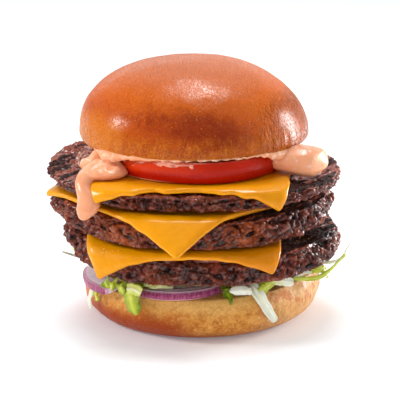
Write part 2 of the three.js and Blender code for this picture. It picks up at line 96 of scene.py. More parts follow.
def closed_rings(rings):
    """Vertices and faces of a body made of rings, closed by a point below and one above."""
    count, segments = rings.shape[:2]
    i, j = np.meshgrid(np.arange(count - 1), np.arange(segments), indexing="ij")
    after = (j + 1) % segments
    quads = np.stack([i * segments + j, i * segments + after], -1).reshape(-1, 2)
    quads = np.hstack([quads, quads[:, ::-1] + segments]).tolist()
    bottom, top = count * segments, count * segments + 1
    first, last = np.arange(segments), (count - 1) * segments + np.arange(segments)
    fans = [[bottom, b, a] for a, b in zip(first.tolist(), np.roll(first, -1).tolist())]
    fans += [[top, a, b] for a, b in zip(last.tolist(), np.roll(last, -1).tolist())]
    ends = [rings[0].mean(0), rings[-1].mean(0)]
    return np.vstack([rings.reshape(-1, 3), ends]), quads + fans


class Wire:
    """An output of a material's node. Sums on wires add the nodes that work them out."""

    def __init__(self, tree, socket):
        self.tree, self.socket = tree, socket

    def node(self, kind, settings, inputs, output=0):
        """A new node: its settings are set first, then its inputs, by name or number."""
        made = self.tree.nodes.new(kind)
        for name, value in settings.items():
            setattr(made, name, value)
        for key, value in inputs.items():
            if isinstance(value, Wire):
                self.tree.links.new(value.socket, made.inputs[key])
            else:
                made.inputs[key].default_value = value
        return Wire(self.tree, made.outputs[output])

    def sum(self, operation, *inputs):
        return self.node("ShaderNodeMath", {"operation": operation}, dict(enumerate(inputs)))

    def __add__(self, other):
        return self.sum("ADD", self, other)

    def __sub__(self, other):
        return self.sum("SUBTRACT", self, other)

    def __rsub__(self, other):
        return self.sum("SUBTRACT", other, self)

    def __mul__(self, other):
        return self.sum("MULTIPLY", self, other)

    __radd__, __rmul__ = __add__, __mul__


def ramp(value, low, high):
    """0 where a wire is under low, 1 over high, and smooth between them."""
    inputs = {"Value": value, "From Min": low, "From Max": high}
    return value.node("ShaderNodeMapRange", {"interpolation_type": "SMOOTHSTEP"}, inputs)


def blend(share, first, second):
    """The first colour where share is 0 and the second where it is 1."""
    settings = {"data_type": "RGBA", "clamp_factor": True}
    return share.node("ShaderNodeMix", settings, {0: share, 6: first, 7: second}, 2)


def grain(place, size, detail=3.0, roughness=0.55):
    """Noise from 0 to 1 with spots about `size` across."""
    inputs = {"Vector": place, "Scale": 1 / size, "Detail": detail, "Roughness": roughness}
    return place.node("ShaderNodeTexNoise", {}, inputs)


def stretched(place, across, deep, up):
    """A place whose pattern is drawn out by these shares along X, Y and Z."""
    inputs = {0: place, 1: (1 / across, 1 / deep, 1 / up)}
    return place.node("ShaderNodeVectorMath", {"operation": "MULTIPLY"}, inputs)


def seen(red, green, blue):
    """A colour as a picture shows it, 0 to 255 each, as the light that a shader takes."""
    light = []
    for shown in (red / 255, green / 255, blue / 255):
        light.append(shown / 12.92 if shown <= 0.04 else ((shown + 0.055) / 1.055) ** 2.4)
    return (*light, 1.0)


class Finish:
    """A material for one kind of surface, with the place on it in millimetres."""

    def __init__(self, name, **fixed):
        self.material = bpy.data.materials.new(name)
        self.material.use_nodes = True
        tree = self.material.node_tree
        self.shader = tree.nodes["Principled BSDF"]
        for words, value in fixed.items():
            self.shader.inputs[words.replace("_", " ")].default_value = value
        start = Wire(tree, None)
        metres = start.node("ShaderNodeTexCoord", {}, {}, "Object")
        self.place = stretched(metres, MM, MM, MM)
        apart = {"Vector": self.place}
        self.x, self.y, self.z = (
            start.node("ShaderNodeSeparateXYZ", {}, apart, n) for n in range(3)
        )

    def stored(self, name):
        """A value kept with the mesh's points."""
        return self.place.node("ShaderNodeAttribute", {"attribute_name": name}, {}, "Fac")

    def paint(self, colour, rough, height, depth, wet=None):
        """Links the colour, roughness, relief of a depth in millimetres, and where it is wet."""
        links = self.material.node_tree.links
        links.new(colour.socket, self.shader.inputs["Base Color"])
        links.new(rough.socket, self.shader.inputs["Roughness"])
        bump = height.node("ShaderNodeBump", {}, {"Height": height, "Distance": depth * MM})
        links.new(bump.socket, self.shader.inputs["Normal"])
        if wet is not None:
            links.new(wet.socket, self.shader.inputs["Coat Weight"])
        return self.material


def piece(name, points, faces, material, slot, node=None):
    """A smooth mesh from points in millimetres, as a piece of the burger."""
    mesh = bpy.data.meshes.new(name)
    mesh.from_pydata((np.asarray(points) * MM).tolist(), [], faces)
    return placed_piece(name, mesh, material, node)


def placed_piece(name, mesh, material, node=None):
    """A mesh as a piece of the burger, which stands for a solid where one is named."""
    mesh.polygons.foreach_set("use_smooth", [True] * len(mesh.polygons))
    mesh.materials.clear()
    mesh.materials.append(material)
    made = bpy.data.objects.new(name, mesh)
    bpy.context.scene.collection.objects.link(made)
    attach(made, "root")
    if node:
        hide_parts(node)
    return made


def heel_rings():
    reach = BUN_RADIUS + HEEL_SPREAD - HEEL_FOOT
    profile = [(radius, 0) for radius in np.linspace(3, HEEL_FOOT, 12)]
    for turn in np.radians(np.linspace(-88, 36, 44)):
        out = math.cos(turn) ** 1.1
        profile.append((HEEL_FOOT + reach * out, HEEL_BELLY * (1 + math.sin(turn))))
    edge_radius, edge_height = profile[-1]
    for share in np.linspace(0.2, 1, 6):
        lift = math.sin(share * math.pi / 2)
        radius = edge_radius + (HEEL_CUT - 1 - edge_radius) * share
        profile.append((radius, edge_height + (HEEL_TOP - edge_height) * lift))
    profile += [(radius, HEEL_TOP) for radius in np.linspace(HEEL_CUT - 4, 3, 12)]
    rings = turned(profile, 240)
    x, y, z = np.moveaxis(rings, -1, 0)
    swell = 1 + 0.012 * np.sin(3 * np.arctan2(y, x) + 0.6) * (z / HEEL_TOP)
    rings = np.stack([x * swell + HEEL_SHIFT, y * swell, z * (1 + HEEL_TILT * x / HEEL_TOP)], -1)
    side = step_up(z, 0.5, 4) * (1 - step_up(z, HEEL_TOP - 1, HEEL_TOP + 0.5) * 0.5)
    radial = rings / np.linalg.norm(rings[..., :2], axis=-1, keepdims=True)
    dents = 0.5 * lumps(rings, 11, 31) + 0.25 * lumps(rings, 4.5, 32)
    turn = np.degrees(np.arctan2(y, x))
    lip = HEEL_LIP * np.exp(-(((turn - LIP_BEARING) / LIP_SPREAD) ** 2))
    lip = lip * step_up(z, 0, 5) * step_up(np.hypot(x, y), 38, 50)
    return rings + radial * ((dents - 0.3) * side + lip)[..., None] * (1, 1, 0)


def heel_finish():
    bread = Finish("heel_crust", Specular_IOR_Level=0.1, Coat_Roughness=0.25)
    place = bread.place
    cloud, mottle, fleck = grain(place, 16, 4), grain(place, 4, 4, 0.65), grain(place, 1.3, 3, 0.7)
    low = 1 - ramp(bread.z + (cloud - 0.5) * 12 - (mottle - 0.5) * 8, 1, 10)
    left = 1 - ramp(bread.x + (cloud - 0.5) * 20, -18, 14)
    baked = left * (1 - ramp(bread.z + (cloud - 0.5) * 10 - (mottle - 0.5) * 7, 7, 16))
    right = ramp(bread.x + (cloud - 0.5) * 16, 20, 40)
    colour = blend(ramp(mottle, 0.35, 0.65), seen(188, 112, 32), seen(220, 154, 70))
    pale = ramp(bread.z + (cloud - 0.5) * 8, 12, 19) * (1 - right)
    colour = blend(pale * 0.6, colour, seen(238, 190, 112))
    colour = blend(low * 0.6, colour, seen(172, 92, 24))
    colour = blend(baked * 0.95, colour, seen(156, 52, 0))
    far_left = 1 - ramp(bread.x + (cloud - 0.5) * 8, -56, -46)
    colour = blend(far_left * 0.85, colour, seen(196, 88, 18))
    colour = blend(right * (1 - low) * 0.75, colour, seen(222, 166, 100))
    patch = ramp(grain(stretched(place, 1, 1, 0.6), 7, 3), 0.46, 0.6)
    shoulder = right * patch * ramp(bread.z, 9, 15)
    colour = blend(shoulder * 0.8, colour, seen(198, 104, 28))
    colour = blend(ramp(fleck, 0.5, 0.72) * (1 - baked * 0.75) * 0.5, colour, seen(242, 196, 122))
    colour = blend(ramp(1 - fleck, 0.52, 0.72) * 0.4, colour, seen(156, 78, 16))
    crease = grain(stretched(place, 1, 1, 3.2), 2.2, 4, 0.7)
    # Pale streaks on the crease ridges are a painted highlight, and darker ones in the hollows
    # painted shade.
    colour = blend(ramp(crease, 0.52, 0.68) * right * 0.55, colour, seen(246, 212, 160))
    colour = blend(ramp(1 - crease, 0.54, 0.68) * right * 0.4, colour, seen(176, 104, 40))
    rough = 0.3 + crease * 0.25
    height = crease * (0.4 + right * 2.4) + fleck * 0.6 + mottle
    return bread.paint(colour, rough, height, 0.6, right * 0.16 + 0.1)


piece("bun_heel_bread", *closed_rings(heel_rings()), heel_finish(), "crumb", "bun_heel")

# ---------------------------------------------------------------- red onion
# A slice cut across a red onion lies on the heel: a dark purple skin, pale flesh in rings. The
# outer rings of a second slice have come loose and lean out over the left side.
ONION_THICK = 4.2
ONION_LEVEL = HEEL_TOP + 0.45
ONION_CENTRE, ONION_RADIUS, ONION_EDGE = (-8.0, -30.0), 26.0, 1.4
ONION_LAYER = 4.1  # from one ring of the onion to the next
ONION_RIDGE = 0.25


def onion_slice_rings():
    half = ONION_THICK / 2
    profile = [(radius, 0) for radius in np.linspace(2, ONION_RADIUS - ONION_EDGE, 26)]
    for turn in np.radians(np.linspace(-80, 80, 13)):
        out = ONION_RADIUS - ONION_EDGE * (1 - math.cos(turn) ** 2)
        profile.append((out, half * (1 + math.sin(turn))))
    profile += [(radius, ONION_THICK) for radius in np.linspace(ONION_RADIUS - ONION_EDGE, 2, 26)]
    rings = turned(profile, 160)
    flat = np.hypot(rings[..., 0], rings[..., 1])
    ridge = ONION_RIDGE * np.cos(flat * 2 * math.pi / ONION_LAYER) * (rings[..., 2] > half)
    rings[..., 2] += ridge - ONION_RIDGE * (rings[..., 2] > half)
    rings[..., 2] += HEEL_TILT * (rings[..., 0] + ONION_CENTRE[0]) + ONION_LEVEL
    return rings + (*ONION_CENTRE, 0)


def onion_finish():
    """Skin and flesh of red onion: `side` is 1 on the skin and `ring` is high between layers."""
    onion = Finish("red_onion", Coat_Weight=0.15, Coat_Roughness=0.15, Specular_IOR_Level=0.3,
                   Subsurface_Weight=0.5, Subsurface_Scale=0.003)
    side, ring = onion.stored("side"), onion.stored("ring")
    streak = grain(stretched(onion.place, 1, 1, 6), 0.9, 3, 0.6)
    skin = blend(ramp(streak, 0.35, 0.7), seen(130, 38, 80), seen(180, 94, 138))
    flesh = blend(ramp(grain(onion.place, 3), 0.3, 0.7), seen(240, 214, 226), seen(252, 240, 244))
    colour = blend(ring, flesh, seen(190, 118, 160))
    colour = blend(side, colour, skin)
    return onion.paint(colour, 0.3 + streak * 0.2, streak, 0.12)


def store(made, **values):
    """Keeps one value for each point of a piece's mesh, for its material to read."""
    for name, value in values.items():
        kept = made.data.attributes.new(name, "FLOAT", "POINT")
        kept.data.foreach_set("value", np.asarray(value, np.float32).ravel())


onion_material = onion_finish()
vertices, faces = closed_rings(onion_slice_rings())
slice_made = piece("onion_slice_flesh", vertices, faces, onion_material, "red_onion", "onion_slice")
reach = np.hypot(*(vertices[:, :2] - ONION_CENTRE).T)
store(
    slice_made,
    side=step_up(reach, ONION_RADIUS - ONION_EDGE - 0.2, ONION_RADIUS - 0.6),
    ring=0.8 * (np.cos(reach * 2 * math.pi / ONION_LAYER) < -0.75),
)

ARC_CENTRE, ARC_OUTER, ARC_INNER = (-15.0, -12.5, 24.8), 40.0, 29.0
ARC_BEARING, ARC_SPREAD, ARC_SAG = 198.0, 31.0, 10.0
ARC_LAYER = 3.7


def turned_by(first, second, degrees):
    """Two coordinates turned about the third axis."""
    c, s = math.cos(math.radians(degrees)), math.sin(math.radians(degrees))
    return first * c - second * s, first * s + second * c


def squared(value):
    """A sine or cosine whose circle is pressed towards a square with round corners."""
    return np.sign(value) * np.abs(value) ** 0.35


def onion_arc_grid(steps=60, around=28):
    """A bent bar of oblong section with round corners, as one row of points for each step."""
    turns = np.radians(np.linspace(180 - ARC_SPREAD, 180 + ARC_SPREAD, steps))
    corner = np.linspace(0, 2 * math.pi, around, endpoint=False)
    middle, half = (ARC_OUTER + ARC_INNER) / 2, (ARC_OUTER - ARC_INNER) / 2
    radius = middle + half * squared(np.cos(corner))
    height = ONION_THICK / 2 * (1 + squared(np.sin(corner)))
    taper = np.sqrt(np.clip(1 - np.abs(np.linspace(-1, 1, steps)) ** 14, 0.02, 1))
    radius = middle + (radius - middle) * taper[:, None]
    height = ONION_THICK / 2 + (height - ONION_THICK / 2) * taper[:, None]
    x, y = radius * np.cos(turns)[:, None], radius * np.sin(turns)[:, None]
    x, height = turned_by(x, height, ARC_SAG)
    x, y = turned_by(x, y, ARC_BEARING - 180)
    return np.stack([x, y, height], -1) + ARC_CENTRE, np.broadcast_to(radius, x.shape)


arc_rings, arc_radius = onion_arc_grid()
vertices, faces = closed_rings(arc_rings)
arc_made = piece("onion_arc_flesh", vertices, faces, onion_material, "red_onion", "onion_arc")
arc_reach = np.append(arc_radius.ravel(), [ARC_OUTER - 5] * 2)
store(
    arc_made,
    side=step_up(arc_reach, ARC_OUTER - 1.0, ARC_OUTER - 0.3),
    ring=0.8 * (np.cos(arc_reach * 2 * math.pi / ARC_LAYER) < -0.7),
)

# ---------------------------------------------------------------- shredded lettuce
# Iceberg lettuce cut into shreds and heaped on the heel. Shreds from the heart are white with
# ribs, those from the outer leaves green, thin and frilled. The patties press them flat.
SHRED_ROOT, SHRED_BEND, SHRED_HANG = 40.0, 52.5, 59.6  # radii where shreds leave, bend and hang
PATTY_REST = 27.8  # height of the lowest patty's underside
LETTUCE_SEED = 5

# tint is the green of a shred's root and of its end, from 0 for white to 1 for a dark leaf. A
# path gives places as bearing in degrees, radius and height. frill waves the edges, ribs thicken
# the leaf, dome arches it across, and tip is the share of its length that narrows at its end.
SHREDS = [
    dict(bearing=182, sweep=2, width=1.4, reach=65.6, rise=3, tint=(0.04, 0.0)),
    dict(width=3.4, tint=(0.12, 0.0), ribs=0.5,
         path=[(211.5, 57, 20), (211, 57.9, 17), (210.2, 58.6, 13), (210.6, 58.0, 8.4)]),
    dict(width=3.0, tint=(0.75, 0.7), frill=0.5,
         path=[(213.5, 55, 20.4), (215, 57.9, 18.4), (217.5, 58.6, 14.6)]),
    dict(width=5, tint=(1.1, 0.9), frill=1.1,
         path=[(222, 46, 26), (222.5, 53, 27), (223.5, 58, 25.4), (225, 57.5, 22.6)]),
    dict(width=4.6, tint=(0.85, 0.75), frill=1.0,
         path=[(227, 46, 26.5), (228, 54, 27.2), (229, 59, 25.6), (228.5, 59.4, 23)]),
    dict(width=5, tint=(1.0, 0.8), frill=0.9,
         path=[(232, 46, 26), (233, 54, 27), (234, 59, 25), (236, 59.6, 22.4)]),
    dict(width=9.5, tint=(0.62, 0.9), frill=0.5, tip=0.12,
         path=[(238, 48, 26), (239, 54, 26.8), (239.6, 59, 24.6), (240.6, 60, 19),
                (242.5, 59.4, 13.6)]),
    dict(width=5.8, tint=(0.42, 0.36), ribs=0.9, frill=0.1,
         path=[(238.5, 60.6, 25.6), (242, 61, 26.2), (245.6, 60.8, 25)]),
    dict(bearing=285, sweep=0, width=5, reach=60, rise=-4.6, tint=(0.9, 1.05), frill=0.9, tip=0.2),
    dict(width=4.6, tint=(0.06, 0.02), ribs=0.3, dome=0.28, tip=0.22,
         path=[(295, 57.8, 24.8), (289, 58.6, 26.2), (284.6, 57.6, 25.8)]),
    dict(width=5.4, tint=(0.1, 0.0), ribs=0.9,
         path=[(296, 47, 26), (296.6, 54, 26.6), (299, 58.6, 22.6), (302.5, 59.4, 16),
                (307.4, 59.6, 8.6)]),
    dict(width=4.4, tint=(0.85, 0.6), frill=0.5,
         path=[(298, 57.6, 23.4), (302.5, 58.4, 25.6), (307.5, 58.4, 28)]),
    dict(width=4.8, tint=(0.2, 0.0), ribs=0.8,
         path=[(306.5, 56.8, 27.4), (312, 58, 26.8), (319.5, 58.6, 24.4)]),
    dict(bearing=319, sweep=20, width=2.2, reach=75, rise=9, tint=(0.6, 0.8)),
    dict(bearing=326, sweep=4, width=4.4, reach=62, rise=2.6, tint=(0.1, 0.0), ribs=0.5),
    dict(width=5.6, tint=(0.5, 0.62), frill=0.9,
         path=[(332, 50, 26), (334, 58, 28), (337, 64, 27), (339, 66.4, 22.6)]),
    dict(width=4.6, tint=(0.45, 0.6), frill=0.6,
         path=[(326, 50, 26), (329, 58, 29), (334, 65, 30)]),
    dict(bearing=348, sweep=8, width=1.6, reach=75.6, rise=11, tint=(0.15, 0.05)),
]
for bearing in range(4, 172, 18):
    spread = float(lattice(bearing, 1, 0, LETTUCE_SEED))
    length = float(lattice(bearing, 2, 0, LETTUCE_SEED))
    shred = dict(bearing=bearing + 4 * spread, sweep=6 * length, width=4.4 + 1.6 * spread)
    shred["tint"] = (0.5 + 0.4 * spread, 0.45 + 0.45 * length)
    shred["frill"] = 0.4 + 0.4 * spread
    hangs = float(lattice(bearing, 3, 0, LETTUCE_SEED)) > -0.5
    shred.update(dict(hang=6 + 5 * length) if hangs else dict(reach=67, rise=1))
    SHREDS.append(shred)
SHREDS.append(
    dict(width=2.0, tint=(0.4, 0.2), frill=0.5,
         path=[(239, 52, 26.1), (248, 53.6, 26.2), (258, 52, 26.0)])
)


def at(bearing, radius, height):
    """The point at a bearing in degrees, a distance from the axis and a height."""
    turn = math.radians(bearing)
    return np.array([radius * math.cos(turn), radius * math.sin(turn), height])


def shred_route(bearing=0, sweep=0, hang=None, reach=0, rise=0, path=None):
    """The points that a shred passes through, from the heap outwards."""
    if path:
        return [at(*place) for place in path]
    slope = HEEL_TOP + 3.4 + HEEL_TILT * SHRED_BEND * math.cos(math.radians(bearing))
    rest = ONION_LEVEL + ONION_THICK + 1.15 if 180 < bearing < 285 else slope
    level = rest + 0.4 * float(lattice(bearing, 7, 0, 2))
    root = at(bearing - sweep * 0.3, SHRED_ROOT, level)
    if hang is None:
        return [
            root,
            at(bearing, SHRED_BEND + 1.5, level),
            at(bearing + sweep * 0.4, reach - 7, level + 0.1 * rise),
            at(bearing + sweep, reach, level + rise),
        ]
    return [
        root,
        at(bearing, SHRED_BEND, level - 0.4),
        at(bearing + sweep * 0.2, SHRED_HANG - 2, level - 3),
        at(bearing + sweep * 0.5, SHRED_HANG - 0.4, level - 3.4 - hang / 2),
        at(bearing + sweep, SHRED_HANG, level - 3.4 - hang),
    ]


def smooth_route(points, steps):
    """A smooth curve through points, with even steps along it."""
    points = np.array(points)
    padded = np.vstack([2 * points[0] - points[1], points, 2 * points[-1] - points[-2]])
    curve = []
    for a, b, c, d in zip(padded, padded[1:], padded[2:], padded[3:]):
        for t in np.linspace(0, 1, 12, endpoint=False):
            curve.append(0.5 * (2 * b + (c - a) * t + (2 * a - 5 * b + 4 * c - d) * t**2
                                + (3 * b - 3 * c + d - a) * t**3))
    curve = np.array(curve + [points[-1]])
    gone = np.concatenate([[0], np.cumsum(np.linalg.norm(np.diff(curve, axis=0), axis=1))])
    even = np.linspace(0, gone[-1], steps)
    return np.stack([np.interp(even, gone, curve[:, n]) for n in range(3)], 1)


def unit(ways):
    """Directions brought to a length of one."""
    return ways / np.linalg.norm(ways, axis=-1, keepdims=True)


def shred_mesh(seed, width, tint, frill=0.15, ribs=0.2, dome=0.09, tip=0.015, **route):
    """A thin strip of leaf: points of both faces as rings round it, and how green each is."""
    steps, across = 44, 11
    line = smooth_route(shred_route(**route), steps)
    along = unit(np.gradient(line, axis=0))
    sideways = unit(np.cross(along, unit(line * (1, 1, 0.5))))
    face = np.cross(sideways, along)[:, None]
    t = np.linspace(0, 1, steps)
    half = width / 2 * (0.62 + 0.38 * np.sin(np.pi * (0.15 + 0.75 * t)))
    half *= 1 + (0.1 + 0.16 * frill) * lumps(np.stack([t * 8, t * 0 + seed, t * 0], 1), 1.0, seed)
    half *= np.sqrt(np.clip((1 - t) / tip, 0.1, 1))
    s = np.linspace(-1, 1, across)
    rib_wave = ribs * 0.35 * np.cos(s * 2.5 * math.pi)
    frill_wave = frill * 1.2 * np.sin(t[:, None] * 17 + s * 2.1 + seed) * np.abs(s) ** 1.2
    frill_wave += frill * 0.4 * np.sin(t[:, None] * 41 - s * 4 + 2 * seed) * np.abs(s)
    lift = dome * width * (1 - s**2) + rib_wave + frill_wave
    centre = line[:, None] + sideways[:, None] * (s * half[:, None])[..., None]
    centre = centre + face * lift[..., None]
    thick = (0.14 + 0.3 * ribs) * np.sqrt(np.clip(1 - s**6, 0.03, 1))
    thick = thick * np.sqrt(np.clip(1 - (2 * t[:, None] - 1) ** 20, 0.05, 1))
    upper = centre + face * thick[..., None]
    lower = centre - face * thick[..., None]
    rings = np.concatenate([upper, lower[:, ::-1]], 1)
    green = tint[0] + (tint[1] - tint[0]) * t
    across_leaf = np.abs(np.concatenate([s, s[::-1]]))
    pale_rib = across_leaf - np.exp(-((across_leaf / 0.25) ** 2))
    return rings, green[:, None] + 0.25 * pale_rib * (tint[1] > 0.3)


def lettuce_finish():
    leaf = Finish("lettuce_leaf", Coat_Weight=0.2, Coat_Roughness=0.2, Specular_IOR_Level=0.4,
                  Subsurface_Weight=0.2, Subsurface_Scale=0.0015)
    leaf.shader.inputs["Subsurface Radius"].default_value = (0.8, 1.0, 0.3)
    green = leaf.stored("green") + (grain(leaf.place, 3, 3) - 0.5) * 0.35
    colour = blend(ramp(green, 0.0, 0.35), seen(232, 234, 216), seen(222, 224, 140))
    colour = blend(ramp(green, 0.35, 0.75), colour, seen(186, 194, 34))
    colour = blend(ramp(green, 0.75, 1.2), colour, seen(104, 134, 12))
    vein = grain(stretched(leaf.place, 1, 1, 3), 1.1, 4, 0.7)
    colour = blend(ramp(vein, 0.54, 0.7) * 0.4, colour, seen(226, 226, 150))
    return leaf.paint(colour, 0.3 + vein * 0.2, vein, 0.5)


def joined(bodies):
    """Several bodies, each of vertices and faces, as one."""
    points, faces, start = [], [], 0
    for vertices, quads in bodies:
        points.append(vertices)
        faces += [[start + corner for corner in quad] for quad in quads]
        start += len(vertices)
    return np.vstack(points), faces


lettuce_material = lettuce_finish()
bodies, greens = [], []
for number, shred in enumerate(SHREDS):
    rings, green = shred_mesh(seed=number + 1, **shred)
    bodies.append(closed_rings(rings))
    greens.append(np.append(green.ravel(), [green[0, 0], green[-1, 0]]))
shreds_made = piece("lettuce_shreds", *joined(bodies), lettuce_material, "leaf", "lettuce")
store(shreds_made, green=np.concatenate(greens))

CORE_BOTTOM, CORE_TOP, CORE_RADIUS = HEEL_TOP - 0.65, PATTY_REST - 0.35, 45.0


def core_rings():
    """The pressed middle of the heap, crumpled in at its side."""
    profile = [(radius, CORE_BOTTOM) for radius in np.linspace(3, CORE_RADIUS - 2, 10)]
    for share in np.linspace(0.1, 0.9, 9):
        radius = CORE_RADIUS + 1.2 * math.sin(share * math.pi)
        profile.append((radius, CORE_BOTTOM + share * (CORE_TOP - CORE_BOTTOM)))
    profile += [(radius, CORE_TOP) for radius in np.linspace(CORE_RADIUS - 2, 3, 10)]
    rings = turned(profile, 140)
    crumple = 1.6 * lumps(rings * (1, 1, 2.2), 5, 41)[..., None] * (1, 1, 0)
    radial = rings / np.linalg.norm(rings[..., :2], axis=-1, keepdims=True)
    return rings - radial * np.abs(crumple)


vertices, faces = closed_rings(core_rings())
core_made = piece("lettuce_core", vertices, faces, lettuce_material, "leaf")
store(core_made, green=0.45 + 0.4 * lumps(vertices * (1, 1, 3), 6, 43))

# ---------------------------------------------------------------- beef patties
# Three coarsely ground beef patties, seared hard on a ridged grill. The rim is a crumble of
# strands with deep gaps, wet with fat, and the top carries black stripes of char.
BEEF_CELL = 0.62  # size of the even faces that a patty is carved from
RIM_CRUMB, SMALL_CRUMB, TOP_STRAND = 4.4, 2.1, 1.9  # how thick crumbs and strands are
RIM_GAP, TOP_GAP, PIT_DEPTH = 3.3, 1.6, 1.3  # how deep the gaps between them and the pits are


def refined(node, voxel, rounds):
    """A copy of a solid's mesh, rebuilt from small even faces and smoothed."""
    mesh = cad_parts[node].data.copy()
    work = bmesh.new()
    work.from_mesh(mesh)
    bmesh.ops.remove_doubles(work, verts=work.verts, dist=0.01 * MM)
    work.to_mesh(mesh)
    work.free()
    made = bpy.data.objects.new(node + "_work", mesh)
    bpy.context.scene.collection.objects.link(made)
    even = made.modifiers.new("even", "REMESH")
    even.mode, even.voxel_size, even.use_smooth_shade = "VOXEL", voxel * MM, True
    soft = made.modifiers.new("soft", "SMOOTH")
    soft.factor, soft.iterations = 0.5, rounds
    scene_state = bpy.context.evaluated_depsgraph_get()
    fine = bpy.data.meshes.new_from_object(made.evaluated_get(scene_state))
    bpy.data.objects.remove(made)
    bpy.data.meshes.remove(mesh)
    return fine


def points_of(mesh):
    """A mesh's points in millimetres and its normals there."""
    flat = np.zeros(len(mesh.vertices) * 3, np.float32)
    mesh.vertices.foreach_get("co", flat)
    ways = np.zeros(len(mesh.vertices) * 3, np.float32)
    mesh.vertices.foreach_get("normal", ways)
    return flat.reshape(-1, 3).astype(float) / MM, ways.reshape(-1, 3).astype(float)


def move_points(mesh, points):
    mesh.vertices.foreach_set("co", (points * MM).astype(np.float32).ravel())
    mesh.update()


def crumbs_at(points, size, seed):
    """How far each point stands out of packed crumbs: 0 in a gap between two, up to 1 on one."""
    place = points / size
    home = np.floor(place)
    near = np.full(len(place), 9.0)
    second = near.copy()
    for step in itertools.product((-1, 0, 1), repeat=3):
        cell = home + step
        jitter = np.stack([lattice(*cell.T, seed + n) for n in range(3)], 1)
        away = np.linalg.norm(place - cell - 0.5 - 0.42 * jitter, axis=1)
        second = np.minimum(second, np.maximum(near, away))
        near = np.minimum(near, away)
    return np.clip((second - near) * 2.2, 0, 1) ** 0.5


def close_to(bearing, middle, width):
    """1 where a bearing is the middle one, fading out over a width to both sides."""
    away = (bearing - middle + 180) % 360 - 180
    return np.exp(-((away / width) ** 2))


def ground_beef(level, seed, strand_bearing, charred, browned):
    """One patty: strands and crumbs pressed into its solid's surface, deepest on the rim. It is
    blackest on top at the bearing `charred`, and orange-brown on the rim at those in `browned`."""
    mesh = refined(f"patty_{level}", BEEF_CELL, rounds=4)
    points, normals = points_of(mesh)
    flat = step_up(np.abs(normals[:, 2]), 0.6, 0.95)
    bent = points + 2.4 * np.stack([lumps(points, 8, seed + n) for n in (1, 2, 3)], 1)
    bent += 0.9 * np.stack([lumps(points, 2.6, seed + n) for n in (4, 5, 6)], 1)
    along, across = turned_by(bent[:, 0], bent[:, 1], -strand_bearing)
    laid = np.stack([along, across, bent[:, 2]], 1)
    big = crumbs_at(laid * (0.5, 1, 0.85), RIM_CRUMB, seed + 7)
    small = crumbs_at(bent, SMALL_CRUMB, seed + 8)
    rim_lumps = 0.56 * big + 0.26 * small + 0.46 * lumps(bent, 6, seed + 9)
    strands = 0.5 * crumbs_at(laid * (0.2, 1, 0.6), TOP_STRAND, seed + 10)
    strands += 0.25 * small + 0.2 * lumps(points, 6, seed + 12)
    lump = rim_lumps * (1 - flat) + strands * flat
    pit = step_up(lumps(bent, 3.4, seed + 16), 0.3, 0.65) * (1 - 0.8 * flat)
    depth = (0.78 - lump) * (RIM_GAP + (TOP_GAP - RIM_GAP) * flat) + PIT_DEPTH * pit
    move_points(mesh, points - normals * np.clip(depth, -0.8, 4)[:, None])
    made = placed_piece(f"patty_{level}_beef", mesh, beef_material, f"patty_{level}")
    crumb = (0.55 * big + 0.45 * small) * (1 - flat) + (0.7 * strands / 0.5 + 0.2 * small) * flat
    bearing = np.degrees(np.arctan2(points[:, 1], points[:, 0]))
    band = lumps(laid * (0.13, 1, 0.2), 2.0, seed + 20) + 0.35 * lumps(points, 3, seed + 21)
    band += 0.7 * close_to(bearing, charred, 26)
    scorched = lumps(points, 22, seed + 22) + close_to(bearing, charred, 30)
    scorched = 0.45 + 0.55 * step_up(scorched, -0.2, 0.4)
    upper = step_up(points[:, 2], *np.quantile(points[:, 2], (0.55, 0.85))) * (1 - flat)
    seared_edge = step_up(lumps(bent, 6, seed + 23), 0.0, 0.5) * upper * 0.6
    char = step_up(band, 0.1, 0.35) * flat * (normals[:, 2] > 0) * scorched + seared_edge
    brown = np.zeros(len(points))
    for middle in browned:
        brown += close_to(bearing, middle, 9) * (1 - flat)
    store(
        made,
        crumb=np.clip(crumb - 0.5 * pit, 0, 1),
        char=np.clip(char - brown, 0, 1),
        flat=flat * (normals[:, 2] > 0),
        brown=np.clip(brown, 0, 1),
    )
    return made


def beef_finish():
    beef = Finish("seared_beef", Specular_IOR_Level=0.08, Coat_Roughness=0.2)
    place = beef.place
    crumb, char, flat = beef.stored("crumb"), beef.stored("char"), beef.stored("flat")
    patch, speck, fine = grain(place, 8, 3), grain(place, 1.6, 4, 0.75), grain(place, 0.6, 3, 0.7)
    colour = blend(ramp(patch, 0.35, 0.65), seen(70, 22, 15), seen(128, 54, 38))
    toasted = ramp(grain(place, 12, 2), 0.54, 0.66) * 0.35 + beef.stored("brown") * 0.65
    colour = blend(toasted, colour, seen(184, 88, 38))
    colour = blend(flat * 0.6, colour, seen(200, 106, 84))
    # Raised specks: part pale fat, part painted highlight. Low specks: painted shade.
    colour = blend(ramp(speck, 0.54, 0.68) * 0.38, colour, seen(186, 112, 92))
    colour = blend(ramp(1 - speck, 0.5, 0.64) * 0.6, colour, seen(58, 18, 12))
    # Painted highlights on crumb tips and pale painted glints on the fine relief.
    colour = blend(ramp(crumb, 0.78, 0.95) * 0.3, colour, seen(206, 122, 98))
    colour = blend(ramp(fine, 0.58, 0.72) * 0.28, colour, seen(232, 172, 148))
    # Near black in the gaps between crumbs is painted shade.
    colour = blend((1 - ramp(crumb, 0.2, 0.66)) * (0.9 - flat * 0.25), colour, seen(14, 4, 3))
    colour = blend(ramp(char, 0.15, 0.7) * 0.9, colour, seen(18, 13, 16))
    rough = 0.3 + fine * 0.4
    wet = (ramp(grain(place, 1.8, 3, 0.6), 0.46, 0.56) + flat * 0.3) * (1 - char * 0.8)
    return beef.paint(colour, rough, speck + fine * 0.6, 1.0, wet)


beef_material = beef_finish()
beef_pieces = {
    "low": ground_beef("low", seed=60, strand_bearing=40, charred=335, browned=()),
    "middle": ground_beef("middle", seed=90, strand_bearing=50, charred=325, browned=(237, 290)),
    "high": ground_beef("high", seed=120, strand_bearing=58, charred=312, browned=(352,)),
}

